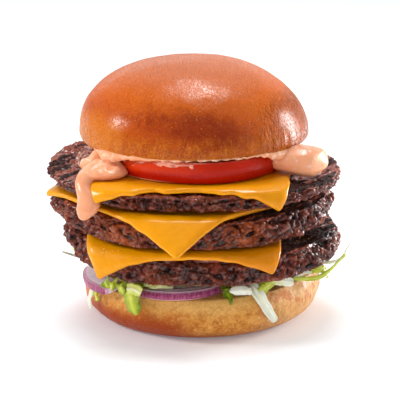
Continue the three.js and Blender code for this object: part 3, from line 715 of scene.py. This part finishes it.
# ---------------------------------------------------------------- cheese slices
# Square slices of processed cheese, laid on the hot patties so that they soften, bend over the
# rim and hang by their corners. Their cut edges melt round, and the surface is smooth and oily.
GAP = 0.35
CHEESE_SIDE, CHEESE_THICK, CHEESE_CORNER = 89.5, 2.4, 1.6
CHEESE_BEND, CHEESE_SETBACK = 7.0, 4.8  # radius of its bend, and how far inside a rim that starts
FLAT_REACH, RIM_REACH = 34.0, 66.0  # distances between which a patty's top curls up
PATTY_SHAPES = {
    "low": dict(seed=3, centre=(1, -4), reach=(68, 68, 60, 62), top=43,
                crest=[(180, 6), (0, 2), (90, 3)]),
    "middle": dict(seed=8, centre=(-2, -6), reach=(69, 69, 60, 60), top=60.2,
                   crest=[(180, 3), (0, 2.5), (90, 2.5)]),
    "high": dict(seed=14, centre=(-0.5, -8), reach=(71.5, 71.5, 57.5, 62), top=72.4,
                 crest=[(140, 8), (40, 5), (90, 4.5)]),
}
CHEESES = {
    "low": dict(corner=(-51.8, -60.8), turn=-2.7, slope=80),
    "middle": dict(corner=(-72, -20.4), turn=-45.8, slope=43),
    "high": dict(corner=(-48.6, -59.6), turn=-3.3, slope=82),
}
MELT = {"low": 0.5, "middle": 0.4, "high": 1.7}  # how far the edge of each slice has run


def patty_rim(shape, angle):
    """The radius of a patty's rim: an oval, with its own reach to each side, and soft lobes."""
    left, right, front, back = shape["reach"]
    c, s = np.cos(angle), np.sin(angle)
    oval = 1 / np.hypot(c / np.where(c > 0, right, left), s / np.where(s > 0, back, front))
    ring = np.stack([3 * c, 3 * s, 0 * c], -1)
    return oval + 1.5 * lumps(ring, 1.6, shape["seed"])


def crest_at(shape, dx, dy):
    """How far a patty's top has curled up, at a distance from its middle."""
    rise = 0
    for bearing, full in shape["crest"]:
        along = dx * math.cos(math.radians(bearing)) + dy * math.sin(math.radians(bearing))
        rise = rise + full * np.clip((along - FLAT_REACH) / (RIM_REACH - FLAT_REACH), 0, 1) ** 1.4
    return rise


def drape(shape, slope, x, y):
    """Where the flat point (x, y) of a slice lies: level on the patty, then over its rim."""
    dx, dy = x - shape["centre"][0], y - shape["centre"][1]
    reach = np.hypot(dx, dy) + 1e-9
    rim = patty_rim(shape, np.arctan2(dy, dx)) - CHEESE_SETBACK
    past = np.maximum(0, reach - rim)
    bend = np.minimum(past / CHEESE_BEND, math.radians(slope))
    straight = past - bend * CHEESE_BEND
    out = CHEESE_BEND * np.sin(bend) + straight * np.cos(bend)
    drop = CHEESE_BEND * (1 - np.cos(bend)) + straight * np.sin(bend)
    within = np.minimum(reach, rim)
    level = shape["top"] + crest_at(shape, dx * within / reach, dy * within / reach)
    scale = (within + out) / reach
    height = level + GAP + CHEESE_THICK / 2 - drop
    return np.stack([shape["centre"][0] + dx * scale, shape["centre"][1] + dy * scale, height], -1)


def cheese_mesh(level, cells=96):
    """Both faces of a slice as grids of points, melted round at its edges and corners."""
    shape, slice_ = PATTY_SHAPES[level], CHEESES[level]
    half = CHEESE_SIDE / 2
    even = np.linspace(-1, 1, cells + 1)
    even = np.sign(even) * (1 - (1 - np.abs(even)) ** 1.15)
    u, v = np.meshgrid(even * half, even * half, indexing="ij")
    straight = half - CHEESE_CORNER
    past_u, past_v = np.maximum(0, np.abs(u) - straight), np.maximum(0, np.abs(v) - straight)
    pull = np.maximum(past_u, past_v) / np.maximum(np.hypot(past_u, past_v), 1e-9)
    pull = np.where((past_u > 0) & (past_v > 0), pull, 1)
    u2 = np.where(past_u > 0, np.sign(u) * (straight + past_u * pull), u)
    v2 = np.where(past_v > 0, np.sign(v) * (straight + past_v * pull), v)
    edge = half - np.maximum(np.abs(u), np.abs(v))
    melt = step_up(12 - edge, 0, 12) * step_up(half - np.minimum(np.abs(u), np.abs(v)), 2, 12)
    ooze = lumps(np.stack([u, v, 0 * u], -1), 5, shape["seed"] + 9) * MELT[level] * melt
    u2 = u2 + np.where(np.abs(u) > np.abs(v), np.sign(u), 0) * ooze * 0.25
    v2 = v2 + np.where(np.abs(v) > np.abs(u), np.sign(v), 0) * ooze

    def flat_to_place(u, v):
        x, y = turned_by(u + half, v + half, slice_["turn"])
        return drape(shape, slice_["slope"], slice_["corner"][0] + x, slice_["corner"][1] + y)

    middle = flat_to_place(u2, v2)
    along_u = flat_to_place(u2 + 0.5, v2) - flat_to_place(u2 - 0.5, v2)
    along_v = flat_to_place(u2, v2 + 0.5) - flat_to_place(u2, v2 - 0.5)
    normal = unit(np.cross(along_u, along_v))
    seed = shape["seed"]
    hanging = step_up(1 - normal[..., 2], 0.04, 0.35)
    wave = 0.5 + 0.5 * lumps(middle, 13, seed + 3)
    ripple = 0.5 + 0.5 * lumps(middle, 5, seed + 4)
    bulge = (0.7 * wave + (0.35 + 0.4 * MELT[level]) * ripple) * hanging + 0.3 * wave
    soft_edge = np.sqrt(np.clip(1 - (1 - np.clip(edge / 0.8, 0, 1)) ** 2, 0, 1))
    thick = CHEESE_THICK / 2 * soft_edge
    upper = middle + normal * (thick * 0.9 + bulge * np.clip(edge / 3, 0.15, 1))[..., None]
    lower = middle - normal * (thick * 0.9)[..., None]
    return upper, lower


def grid_faces(index):
    """The four-sided faces between the rows and columns of a grid of point numbers."""
    corners = (index[:-1, :-1], index[1:, :-1], index[1:, 1:], index[:-1, 1:])
    return np.stack(corners, -1).reshape(-1, 4)


def two_faced(upper, lower):
    """Vertices and faces of a sheet whose faces meet at its outer edge."""
    rows, columns = upper.shape[:2]
    index = np.arange(rows * columns).reshape(rows, columns)
    back = index + rows * columns
    for line in (np.s_[0, :], np.s_[-1, :], np.s_[:, 0], np.s_[:, -1]):
        back[line] = index[line]
    points = np.vstack([((upper + lower) / 2).reshape(-1, 3), lower.reshape(-1, 3)])
    inner = np.zeros((rows, columns), bool)
    inner[1:-1, 1:-1] = True
    points[: rows * columns][inner.ravel()] = upper.reshape(-1, 3)[inner.ravel()]
    quads = np.vstack([grid_faces(index), grid_faces(back)[:, ::-1]])
    used, renumbered = np.unique(quads, return_inverse=True)
    return points[used], renumbered.reshape(-1, 4).tolist()


def cheese_finish():
    cheese = Finish("melted_cheese", Coat_Weight=0.45, Coat_Roughness=0.2, Specular_IOR_Level=0.06,
                    Subsurface_Weight=0.25, Subsurface_Scale=0.002)
    cheese.shader.inputs["Subsurface Radius"].default_value = (1.0, 0.45, 0.05)
    cloud, skin = grain(cheese.place, 12, 3), grain(cheese.place, 1.2, 3)
    colour = blend(cloud, seen(226, 142, 0), seen(235, 160, 2))
    colour = blend(ramp(skin, 0.6, 0.85) * 0.15, colour, seen(242, 184, 30))
    # Painted shade: a deeper orange towards the right, strongest on the lower slices.
    shaded_right = ramp(cheese.x + (cloud - 0.5) * 30, -12, 34) * (1 - ramp(cheese.z, 58, 68) * 0.8)
    colour = blend(shaded_right * 0.5, colour, seen(212, 116, 0))
    return cheese.paint(colour, 0.3 + cloud * 0.16, grain(cheese.place, 5, 2) + skin * 0.1, 0.6)


cheese_material = cheese_finish()
for level in ("low", "middle", "high"):
    vertices, faces = two_faced(*cheese_mesh(level))
    name, node = f"cheese_{level}_slice", f"cheese_{level}"
    piece(name, vertices, faces, cheese_material, "melted_cheese", node)

# ---------------------------------------------------------------- tomato slice
# A thick slice across a ripe tomato. The skin is smooth and taut on its edge, and the cut face
# above is wet with juice and smeared with dressing.
TOMATO_CENTRE, TOMATO_RADIUS, TOMATO_TOP = (0.0, -16.0), 40.0, 85.2
TOMATO_BOTTOM = PATTY_SHAPES["high"]["top"] + 2 * GAP + CHEESE_THICK + 0.1


def tomato_rings():
    half, flat = (TOMATO_TOP - TOMATO_BOTTOM) / 2, TOMATO_RADIUS - 2.5
    profile = [(radius, -half) for radius in np.linspace(2, flat, 12)]
    for turn in np.radians(np.linspace(-66, 66, 27)):
        profile.append((flat + 0.5 + 2 * math.cos(turn), half * math.sin(turn) * 1.08))
    profile += [(radius, half) for radius in np.linspace(flat, 2, 14)]
    rings = turned(profile, 220)
    x, y, z = np.moveaxis(rings, -1, 0)
    lobes = 1 + 0.012 * np.cos(5 * np.arctan2(y, x))
    rings = np.stack([x * lobes, y * lobes, z + TOMATO_BOTTOM + half], -1) + (*TOMATO_CENTRE, 0)
    return rings + 0.25 * lumps(rings, 9, 51)[..., None] * (1, 1, 0.3)


def tomato_finish():
    tomato = Finish("tomato_skin", Coat_Weight=0.14, Coat_Roughness=0.1, Specular_IOR_Level=0.1)
    place = tomato.place
    cloud, streak = grain(place, 11, 3), grain(stretched(place, 3, 3, 0.7), 2.5, 3)
    colour = blend(cloud, seen(158, 12, 2), seen(182, 24, 4))
    # Painted highlight: the upper band of the skin is lighter, and orange towards the left.
    upper = ramp(tomato.z + (cloud - 0.5) * 3, 78.5, 82)
    colour = blend((1 - ramp(tomato.x, -34, 10)) * upper * 0.9, colour, seen(212, 66, 10))
    colour = blend(upper * 0.35, colour, seen(206, 50, 14))
    colour = blend(ramp(streak, 0.62, 0.8) * 0.25, colour, seen(214, 70, 34))
    wet = grain(stretched(place, 2.6, 1.4, 1), 2.6, 4, 0.6)
    face = ramp(tomato.z, TOMATO_TOP - 0.7, TOMATO_TOP - 0.05) * (1 - ramp(tomato.x, -6, 8) * 0.9)
    colour = blend(face * ramp(wet, 0.42, 0.6) * 0.85, colour, seen(236, 176, 152))
    foot = 1 - ramp(tomato.z, TOMATO_BOTTOM + 0.2, TOMATO_BOTTOM + 1.0)
    foot = foot * (1 - ramp(tomato.x, -22, -8))
    colour = blend(foot * 0.7, colour, seen(230, 168, 130))
    return tomato.paint(colour, 0.2 + cloud * 0.15, streak + wet * face * 2, 0.2)


tomato_made = piece(
    "tomato_slice_flesh", *closed_rings(tomato_rings()), tomato_finish(), "tomato", "tomato_slice"
)

# ---------------------------------------------------------------- dressing
# Pink burger dressing, thick as mayonnaise, spooned on under the crown. Its weight pushes it
# out at both sides, where it folds over itself and ends in slow drops.
DRESSING_CELL = 0.8  # size of the even faces that it is shaped from
NECK_LEVEL = 67.0  # height where its left run is slimmest
DROP_LEVEL, DROP_DEPTH = 79.5, -28.5  # height and depth of the middle of its right run
DROP_RAISED = 0.9  # how much higher that is than in the solid
SMEAR_RADIUS, SMEAR_LEVEL, SMEAR_SHIFT = 53.3, 86.2, -1.9  # the bead under the crown's edge
SMEAR_FROM, SMEAR_SWEEP = 209, 126  # bearing of its left end, and how far round it goes
HEAP_CENTRE, HEAP_REACH = (-46.5, -31.5, 79.0), (6.8, 5.6, 5.6)
FILM_BEARINGS, FILM_RADII, FILM_THICK = (160, 193), (44, 58.5), 0.7
STREAK_BEARINGS, STREAK_THICK = (204, 268), 0.45


def dressing_finish():
    sauce = Finish("burger_dressing", Coat_Weight=0.2, Coat_Roughness=0.14, Specular_IOR_Level=0.25,
                   Subsurface_Weight=0.25, Subsurface_Scale=0.002)
    sauce.shader.inputs["Subsurface Radius"].default_value = (1.0, 0.5, 0.3)
    place = sauce.place
    cloud, speck = grain(place, 9, 3), grain(place, 0.9, 2)
    colour = blend(cloud, seen(236, 156, 108), seen(246, 182, 144))
    creamy = ramp(grain(place, 2.2, 3), 0.55, 0.7) * ramp(sauce.z, 77, 82)
    colour = blend(creamy * 0.75, colour, seen(250, 218, 204))
    colour = blend(ramp(speck, 0.68, 0.8) * 0.3, colour, seen(214, 110, 60))
    drip = (1 - ramp(sauce.x, -42, -28)) * (1 - ramp(sauce.z, 74, 82))
    colour = blend(drip * 0.6, colour, seen(222, 144, 104))
    return sauce.paint(colour, 0.26 + cloud * 0.14, cloud, 0.5)


def poured(points, normals):
    """The layer's points, swollen into soft folds. Its left run gets a neck and a shoulder, and
    its right run ends in a full drop."""
    folds = 0.5 + 0.5 * lumps(points, 7, 71)
    x, y, z = points.T
    x = x + 1.6 * np.exp(-(((z - NECK_LEVEL) / 4.5) ** 2)) * (x < -35)
    x = x + 2.4 * step_up(z, 77, 82) * (1 - step_up(x, -46, -36))
    right_run, fullness = step_up(x, 22, 30), 0.75 + 0.4 * step_up(x, 31, 50)
    z = z * (1 - right_run) + (DROP_LEVEL + (z - DROP_LEVEL + DROP_RAISED) * fullness) * right_run
    y = y * (1 - right_run) + (DROP_DEPTH + (y - DROP_DEPTH) * fullness) * right_run
    points = np.stack([x, y, z], 1)
    squeezed = step_up(z, 76, 81) * (1 - step_up(x, -34, -26))
    rough_top = squeezed * (1.0 * lumps(points, 3, 78) + 0.6 * lumps(points, 1.6, 79))
    swell = 0.35 + 0.7 * folds + rough_top
    return points + normals * swell[:, None] * (1, 1, 0.5)


dressing_material = dressing_finish()
dressing_mesh = refined("dressing", DRESSING_CELL, rounds=8)
move_points(dressing_mesh, poured(*points_of(dressing_mesh)))
placed_piece("dressing_pour", dressing_mesh, dressing_material, "dressing")


def smear_rings(steps=220, around=14):
    """A bead of dressing squeezed out between the tomato and the crown, thick and thin."""
    share = np.linspace(0, 1, steps)
    degrees = SMEAR_FROM + SMEAR_SWEEP * share
    bearing = np.radians(degrees)
    line = np.stack([bearing * 50, 0 * bearing, 0 * bearing], 1)
    swell = 0.55 + 0.45 * lumps(line, 5, 73) + 0.35 * lumps(line, 1.9, 74)
    left = 1 - step_up(share, 0.36, 0.52)
    corner = close_to(degrees, 225, 8)
    ending = step_up(share, 0.76, 0.86)
    size = np.clip(swell, 0.6, 2) * (0.6 + 0.5 * left + 2.6 * ending) + 2.1 * corner
    size *= np.sqrt(np.clip(1 - (2 * share - 1) ** 12, 0.02, 1))
    turns = np.linspace(0, 2 * math.pi, around, endpoint=False)
    middle = step_up(share, 0.4, 0.52) - step_up(share, 0.74, 0.82)
    radius = SMEAR_RADIUS + 0.8 * middle[:, None] + size[:, None] * 1.3 * np.cos(turns)
    sunk = 0.3 * left + 1.6 * corner + 1.7 * ending
    height = SMEAR_LEVEL - sunk[:, None] + 1.25 * size[:, None] * np.sin(turns)
    x = radius * np.cos(bearing)[:, None] + SMEAR_SHIFT
    ring = np.stack([x, radius * np.sin(bearing)[:, None], height], -1)
    uneven = 0.4 + 0.8 * corner[:, None] ** 2 * lumps(ring, 2.6, 76)
    return ring + (uneven * lumps(ring, 1.5, 75))[..., None]


piece("dressing_smear", *closed_rings(smear_rings()[:, ::-1]), dressing_material, "sauce")


def heap_rings():
    """The lumpy heap at the front left, where most of the dressing was pressed out."""
    bends = np.radians(np.linspace(-84, 84, 44))
    ball = turned([(math.cos(b), math.sin(b)) for b in bends], 90) * HEAP_REACH
    heap = ball + HEAP_CENTRE
    uneven = 1.5 * lumps(heap, 4.2, 63) + 0.8 * lumps(heap, 1.9, 64)
    return heap + unit(ball) * uneven[..., None]


piece("dressing_heap", *closed_rings(heap_rings()), dressing_material, "sauce")


def surface_of(made):
    """The surface of a piece, for rays to meet."""
    return BVHTree.FromObject(made, bpy.context.evaluated_depsgraph_get())


def film_on(surface, cells=60):
    """A thin film of dressing that follows what lies under it, with a ragged edge."""
    turns, outs = np.linspace(*FILM_BEARINGS, cells), np.linspace(*FILM_RADII, cells)
    turn, out = np.meshgrid(np.radians(turns), outs, indexing="ij")
    even = np.linspace(-1, 1, cells)
    u, v = np.meshgrid(even, even, indexing="ij")
    x, y = out * np.cos(turn), out * np.sin(turn)
    ragged = 1 - 0.9 * np.hypot(u, v) + 0.4 * lumps(np.stack([x, y, 0 * x], -1), 2.6, 77)
    height = np.zeros_like(x)
    for place in np.ndindex(x.shape):
        above = Vector((x[place] * MM, y[place] * MM, 0.2))
        hit = surface.ray_cast(above, Vector((0, 0, -1)))[0]
        height[place] = hit.z / MM if hit else np.nan
    height = np.where(np.isnan(height), np.nanmean(height), height)
    body = np.clip(ragged * 2.2, -0.6, 1) * FILM_THICK
    return np.stack([x, y, height + body], -1), np.stack([x, y, height - 0.8], -1)


def film_finish(name, across, deep, thin, thick):
    """Dressing so thin that what lies under it shows between its streaks."""
    film = Finish(name, Coat_Weight=0.4, Coat_Roughness=0.16, Specular_IOR_Level=0.25)
    streak = grain(stretched(film.place, across, deep, 1), 1.5, 4, 0.65)
    colour = blend(streak, seen(*thin), seen(*thick))
    film.material.node_tree.links.new(ramp(streak, 0.34, 0.6).socket, film.shader.inputs["Alpha"])
    return film.paint(colour, 0.3 + streak * 0.2, streak, 0.3)


film_material = film_finish("dressing_film", 1, 2.2, (214, 142, 118), (244, 206, 190))
film = two_faced(*film_on(surface_of(beef_pieces["high"])))
piece("dressing_film_left", *film, film_material, "sauce")


def streaks_on(surface, steps=130, rows=14):
    """A ragged wet film over the upper edge of the tomato, from its cut face down its side."""
    middle = np.array([*TOMATO_CENTRE, (TOMATO_TOP + TOMATO_BOTTOM) / 2 + 1.5])
    outer, inner = np.zeros((steps, rows, 3)), np.zeros((steps, rows, 3))
    for i, turn in enumerate(np.radians(np.linspace(*STREAK_BEARINGS, steps))):
        ragged = float(lumps([turn * 40, 0, 0], 3.4, 61) + 0.5 * lumps([turn * 40, 0, 0], 1.3, 62))
        for j, lift in enumerate(np.radians(np.linspace(80, 10 - 11 * ragged, rows))):
            flat = np.array([math.cos(turn), math.sin(turn), 0])
            way = flat * math.cos(lift) + (0, 0, math.sin(lift))
            start = middle + flat * (TOMATO_RADIUS - 6)
            hit = surface.ray_cast(Vector((start + way * 20) * MM), Vector(-way))[0]
            met = np.array(hit) / MM
            ends = 0.1 + min(i, steps - 1 - i) / 6
            body = STREAK_THICK * min(1, ends, 0.1 + 3 * (1 - j / (rows - 1)))
            outer[i, j], inner[i, j] = met + way * body, met - way * 0.4
    return inner, outer


streaks = two_faced(*streaks_on(surface_of(tomato_made)))
juice = film_finish("dressing_streaks", 4, 2, (214, 84, 58), (240, 176, 150))
piece("dressing_streaks", *streaks, juice, "sauce")

# ---------------------------------------------------------------- crown of the bun
# The upper half of the bun, brushed with egg before baking: a glossy chestnut skin, darkest
# where it faced the oven, with pores, and pale fine stretch wrinkles near its lower rim.
CROWN_BASE, CROWN_TOP, CROWN_SHIFT, CROWN_CURL = 85.8, 125.0, -1.9, 2.6
CROWN_RADIUS = BUN_RADIUS - 0.6
CROWN_SAG = 0.25  # how much flatter its right shoulder is than its left one


def crown_rings():
    waist, rim = CROWN_BASE + CROWN_CURL, CROWN_RADIUS - 2.2
    profile = [(radius, CROWN_BASE) for radius in np.linspace(3, rim - 1, 14)]
    for turn in np.radians(np.linspace(-80, 0, 12)):
        radius = rim + (CROWN_RADIUS - rim) * math.cos(turn)
        profile.append((radius, waist + CROWN_CURL * math.sin(turn)))
    for turn in np.radians(np.linspace(1.5, 88.5, 88)):
        radius = CROWN_RADIUS * math.cos(turn) ** 0.96
        profile.append((radius, waist + (CROWN_TOP - waist) * math.sin(turn) ** 0.84))
    rings = turned(profile, 330)
    x, y, z = np.moveaxis(rings, -1, 0)
    turn = np.arctan2(y, x)
    low = 1 - (z - CROWN_BASE) / (CROWN_TOP - CROWN_BASE)
    swell = 1 + 0.008 * np.sin(3 * turn + 1) + 0.006 * low * np.sin(7 * turn)
    share = np.maximum(0, z - waist) / (CROWN_TOP - waist)
    sagged = waist + (CROWN_TOP - waist) * share ** (1 + CROWN_SAG * (0.5 + 0.5 * np.cos(turn)))
    rings = np.stack([x * swell + CROWN_SHIFT, y * swell, np.where(z > waist, sagged, z)], -1)
    outward = unit((rings - (CROWN_SHIFT, 0, 80)) * (1, 1, 1.6))
    dents = 0.3 * lumps(rings, 15, 81) + 0.12 * lumps(rings, 5, 82)
    around = np.stack([turn * BUN_RADIUS, z * 0.2, 0 * z], -1)
    wrinkles = 0.3 * lumps(around, 1.9, 83) * step_up(low, 0.6, 0.92)
    skin = step_up(z, CROWN_BASE, CROWN_BASE + 2)
    return rings + outward * ((dents + wrinkles - 0.25) * skin)[..., None]


def crown_finish():
    crust = Finish("egg_glazed_crust", Coat_Roughness=0.26, Specular_IOR_Level=0.02)
    place = crust.place
    cloud, mottle, pore = grain(place, 22, 4), grain(place, 5, 5, 0.65), grain(place, 1.2, 3, 0.7)
    fleck = grain(place, 0.7, 2, 0.6)
    height = crust.z + (cloud - 0.5) * 12 + (mottle - 0.5) * 7
    colour = blend(ramp(height, 88, 100), seen(182, 76, 2), seen(190, 74, 4))
    colour = blend(ramp(height, 98, 114), colour, seen(218, 102, 20))
    # The pale pink towards the top is a painted sheen.
    colour = blend(ramp(height, 110, 125) * 0.9, colour, seen(230, 134, 92))
    sunny = ramp(crust.x + (cloud - 0.5) * 20, 14, 34) * (1 - ramp(height, 104, 116))
    colour = blend(sunny * 0.6, colour, seen(212, 104, 16))
    tall = crust.z - 99 + crust.x * 0.2
    spot = crust.x * crust.x * 0.0011 + tall * tall * 0.014
    spot = spot + (cloud - 0.5) * 1.8 + (mottle - 0.5) * 2.6
    dark = (1 - ramp(spot, -0.3, 1.5)) * (1 - ramp(crust.y, -46, -4))
    colour = blend(dark * 0.85, colour, seen(142, 40, 0))
    low = 1 - ramp(crust.z + (cloud - 0.5) * 8, 90, 99)
    gold = low * ramp(mottle + (fleck - 0.5) * 0.5, 0.46, 0.6) * (1 - ramp(crust.x, 4, 30) * 0.6)
    colour = blend(gold * 0.5, colour, seen(214, 122, 14))
    ochre = (1 - ramp(crust.x + (cloud - 0.5) * 16, -44, -24)) * (1 - ramp(height, 94, 106))
    colour = blend(ochre * 0.6, colour, seen(230, 132, 26))
    # Golden specks, partly the crust's own colour and partly painted glints.
    pin = place.node("ShaderNodeTexVoronoi", {}, {"Vector": place, "Scale": 0.62}, "Distance")
    glint_specks = (1 - ramp(pin, 0.08, 0.24)) * ramp(grain(place, 3.2, 3, 0.6), 0.5, 0.58)
    colour = blend(glint_specks * 0.45, colour, seen(246, 176, 96))
    colour = blend(ramp(1 - fleck, 0.5, 0.7) * 0.22, colour, seen(108, 32, 4))
    colour = blend(ramp(pore, 0.56, 0.76) * 0.26, colour, seen(232, 142, 70))
    wrinkle = grain(stretched(place, 1, 1, 5), 1.5, 4, 0.65)
    streaked = 1 - ramp(crust.z, 90, 99)
    colour = blend(ramp(wrinkle, 0.5, 0.7) * streaked * 0.45, colour, seen(228, 148, 56))
    rim = 1 - ramp(crust.z + (mottle - 0.5) * 3, CROWN_BASE, CROWN_BASE + 2.0)
    colour = blend(rim * 0.6, colour, seen(222, 144, 62))
    rough = 0.2 + ramp(pore, 0.4, 0.65) * 0.4
    crumpled = ramp(crust.x, 24, 38) * (1 - ramp(crust.z, 104, 112))
    fold = grain(stretched(place, 1, 1, 2.4), 1.9, 2, 0.6)
    relief = pore * 2 + fleck * 1.2 + wrinkle * (streaked * 1.5 + crumpled * 2)
    relief = relief + fold * crumpled * 18
    glazed = 0.1 + crumpled * 0.08 + ramp(1 - pore, 0.4, 0.6) * 0.24
    glazed = glazed + ramp(grain(place, 0.9, 2), 0.48, 0.6) * 0.4
    return crust.paint(colour, rough, relief, 0.6, glazed)


piece("bun_crown_bread", *closed_rings(crown_rings()), crown_finish(), "glazed_crust", "bun_crown")

# ---------------------------------------------------------------- loose bits
# Burnt crumbs of beef that broke off the rims, flecks of green herb on the lowest patty and
# grains of milk protein on a slice of cheese. They stick in the fat where they fell.
PHOTO_SIZE, PHOTO_MIDDLE, PHOTO_FOCUS = 400, (197, 188.27), 1552.5  # all in its pixels
VIEW_ANGLE, VIEW_DISTANCE, VIEW_LEVEL = math.radians(14), 750, 60
VIEW_POINT = Vector((0, -VIEW_DISTANCE * math.cos(VIEW_ANGLE),
                     VIEW_LEVEL + VIEW_DISTANCE * math.sin(VIEW_ANGLE)))
BURNT_SIZE, HERB_SIZE, GRAIN_SIZE, FALLEN_SIZE = 0.6, 0.36, 0.23, 0.7
HERB_SPOTS = ((300, 238), (303, 235.4), (308.6, 239), (311.4, 236.6), (306, 241.4), (297, 241))
GRAIN_SPOTS = ((104, 249), (106.6, 251.4), (103, 252.6), (112.4, 251.2), (118, 250.4))
FALLEN_SPOTS = ((310, 270), (298, 281))


def sight(across, down):
    """A ray in metres from the lens through a pixel of the photograph."""
    right = (across - PHOTO_MIDDLE[0]) / PHOTO_FOCUS
    rise = (PHOTO_MIDDLE[1] - down) / PHOTO_FOCUS
    ahead = Vector((0, math.cos(VIEW_ANGLE), -math.sin(VIEW_ANGLE)))
    up = Vector((0, math.sin(VIEW_ANGLE), math.cos(VIEW_ANGLE)))
    return VIEW_POINT * MM, (ahead + Vector((right, 0, 0)) + up * rise).normalized()


def inward(bearing, height):
    """A ray in metres from outside the burger to its axis at a height."""
    way = Vector(at(bearing, 1, 0))
    return way * 0.12 + Vector((0, 0, height * MM)), -way


def bits_on(carrier, name, rays, size, material, slot):
    """Small uneven crumbs, each set half into the carrier where its ray first meets it."""
    surface, bodies = surface_of(carrier), []
    for number, ray in enumerate(rays):
        hit = surface.ray_cast(*ray)[0]
        if hit is None:
            continue
        radius = size * (1 + 0.35 * float(lattice(number, 1, 0, 91)))
        bends = np.radians(np.linspace(-70, 70, 6))
        crumb = turned([(radius * math.cos(b), radius * 0.7 * math.sin(b)) for b in bends], 10)
        vertices, quads = closed_rings(crumb)
        vertices = vertices * (1 + 0.35 * lumps(vertices + 9 * number, radius * 0.9, 92))[:, None]
        bodies.append((vertices + np.array(hit) / MM, quads))
    piece(name, *joined(bodies), material, slot)


def bit_finish(name, light, dark):
    bit = Finish(name)
    speck = grain(bit.place, 0.5, 3)
    return bit.paint(blend(speck, seen(*dark), seen(*light)), 0.3 + speck * 0.3, speck, 0.1)


burnt = bit_finish("burnt_crumb", (92, 50, 30), (30, 14, 10))
herb = bit_finish("herb_fleck", (190, 180, 40), (120, 130, 20))
protein = bit_finish("milk_grain", (255, 236, 190), (250, 214, 140))
rims = {"low": range(8, 360, 37), "middle": range(20, 360, 43), "high": range(2, 360, 41)}
for level, bearings in rims.items():
    height = PATTY_SHAPES[level]["top"] - 4
    rays = [inward(bearing, height + 2 * float(lattice(bearing, 2, 0, 93))) for bearing in bearings]
    bits_on(beef_pieces[level], f"crumbs_{level}", rays, BURNT_SIZE, burnt, "seared_beef")
herb_rays = [sight(*spot) for spot in HERB_SPOTS]
bits_on(beef_pieces["low"], "herb_flecks", herb_rays, HERB_SIZE, herb, "leaf")
grain_rays = [sight(*spot) for spot in GRAIN_SPOTS]
low_slice = bpy.data.objects["cheese_low_slice"]
bits_on(low_slice, "milk_grains", grain_rays, GRAIN_SIZE, protein, "melted_cheese")
fallen_rays = [sight(*spot) for spot in FALLEN_SPOTS]
bits_on(shreds_made, "crumbs_on_lettuce", fallen_rays, FALLEN_SIZE, burnt, "seared_beef")

# ---------------------------------------------------------------- table, light and camera
# A white studio table under broad soft light from above. A small light at the left and a panel
# behind the right side show in what is wet or glazed, three more show there and light nothing
# else, a low one in front fills the shade, and a long lens looks down a little.
def table_finish():
    white = Finish("white_table", Emission_Color=(0.8, 0.95, 1.15, 1), Emission_Strength=0.12)
    tone = blend(grain(white.place, 60, 2), seen(250, 250, 250), seen(252, 252, 252))
    return white.paint(tone, grain(white.place, 30) * 0.1 + 0.55, grain(white.place, 5), 0.02)


bpy.ops.mesh.primitive_grid_add(x_subdivisions=4, y_subdivisions=4, size=24)
table = bpy.context.object
table.name = "studio_table"
table.data.materials.append(table_finish())

world = bpy.data.worlds.new("studio")
world.use_nodes = True
world.node_tree.nodes["Background"].inputs["Color"].default_value = (1, 1, 1, 1)
world.node_tree.nodes["Background"].inputs["Strength"].default_value = 0.42
bpy.context.scene.world = world

BURGER_MIDDLE = Vector((0, 0, 0.07))  # in metres


def soft_light(name, place, size, power, mirrored=True, only_mirrored=False):
    """A rectangular studio light at a place in metres, which points at the burger. Wet and glazed
    surfaces mirror it or not, or it shows in those mirrorings alone."""
    lamp = bpy.data.lights.new(name, "AREA")
    lamp.shape, lamp.size, lamp.size_y, lamp.energy = "RECTANGLE", size[0], size[1], power
    made = bpy.data.objects.new(name, lamp)
    made.location, made.visible_glossy, made.visible_diffuse = place, mirrored, not only_mirrored
    made.rotation_euler = (BURGER_MIDDLE - Vector(place)).to_track_quat("-Z", "Y").to_euler()
    bpy.context.scene.collection.objects.link(made)


overhead = bpy.data.lights.new("light_above", "SUN")
overhead.energy, overhead.angle = 1.6, math.radians(28)
hung = bpy.data.objects.new("light_above", overhead)
hung.visible_glossy = False
hung.rotation_euler = Vector((0.07, -0.2, -1)).to_track_quat("-Z", "Y").to_euler()
bpy.context.scene.collection.objects.link(hung)
soft_light("gloss_above", (0.1, 0.27, 1.08), (0.62, 0.46), 7.5, only_mirrored=True)
soft_light("gloss_core", (0.16, 0.22, 1.07), (0.26, 0.2), 3.6, only_mirrored=True)
soft_light("gloss_behind", (0, 1.1, 0.42), (1.4, 0.3), 1.4, only_mirrored=True)
soft_light("light_left", (-0.9, -0.08, 0.47), (0.18, 0.22), 5.1)
soft_light("panel_right", (0.8, 0.38, 0.2), (0.3, 0.4), 9.5)
soft_light("light_front", (-0.45, -1.3, 0.22), (0.7, 0.3), 3.4, mirrored=False)

lens = bpy.data.cameras.new("camera")
lens.sensor_width, lens.lens = 36, 36 * PHOTO_FOCUS / PHOTO_SIZE
lens.shift_x = (PHOTO_SIZE / 2 - PHOTO_MIDDLE[0]) / PHOTO_SIZE
lens.shift_y = (PHOTO_MIDDLE[1] - PHOTO_SIZE / 2) / PHOTO_SIZE
camera = bpy.data.objects.new("camera", lens)
camera.location = VIEW_POINT * MM
camera.rotation_euler = (math.pi / 2 - VIEW_ANGLE, 0, 0)
bpy.context.scene.collection.objects.link(camera)
bpy.context.scene.camera = camera
bpy.context.scene.view_settings.view_transform = "Standard"
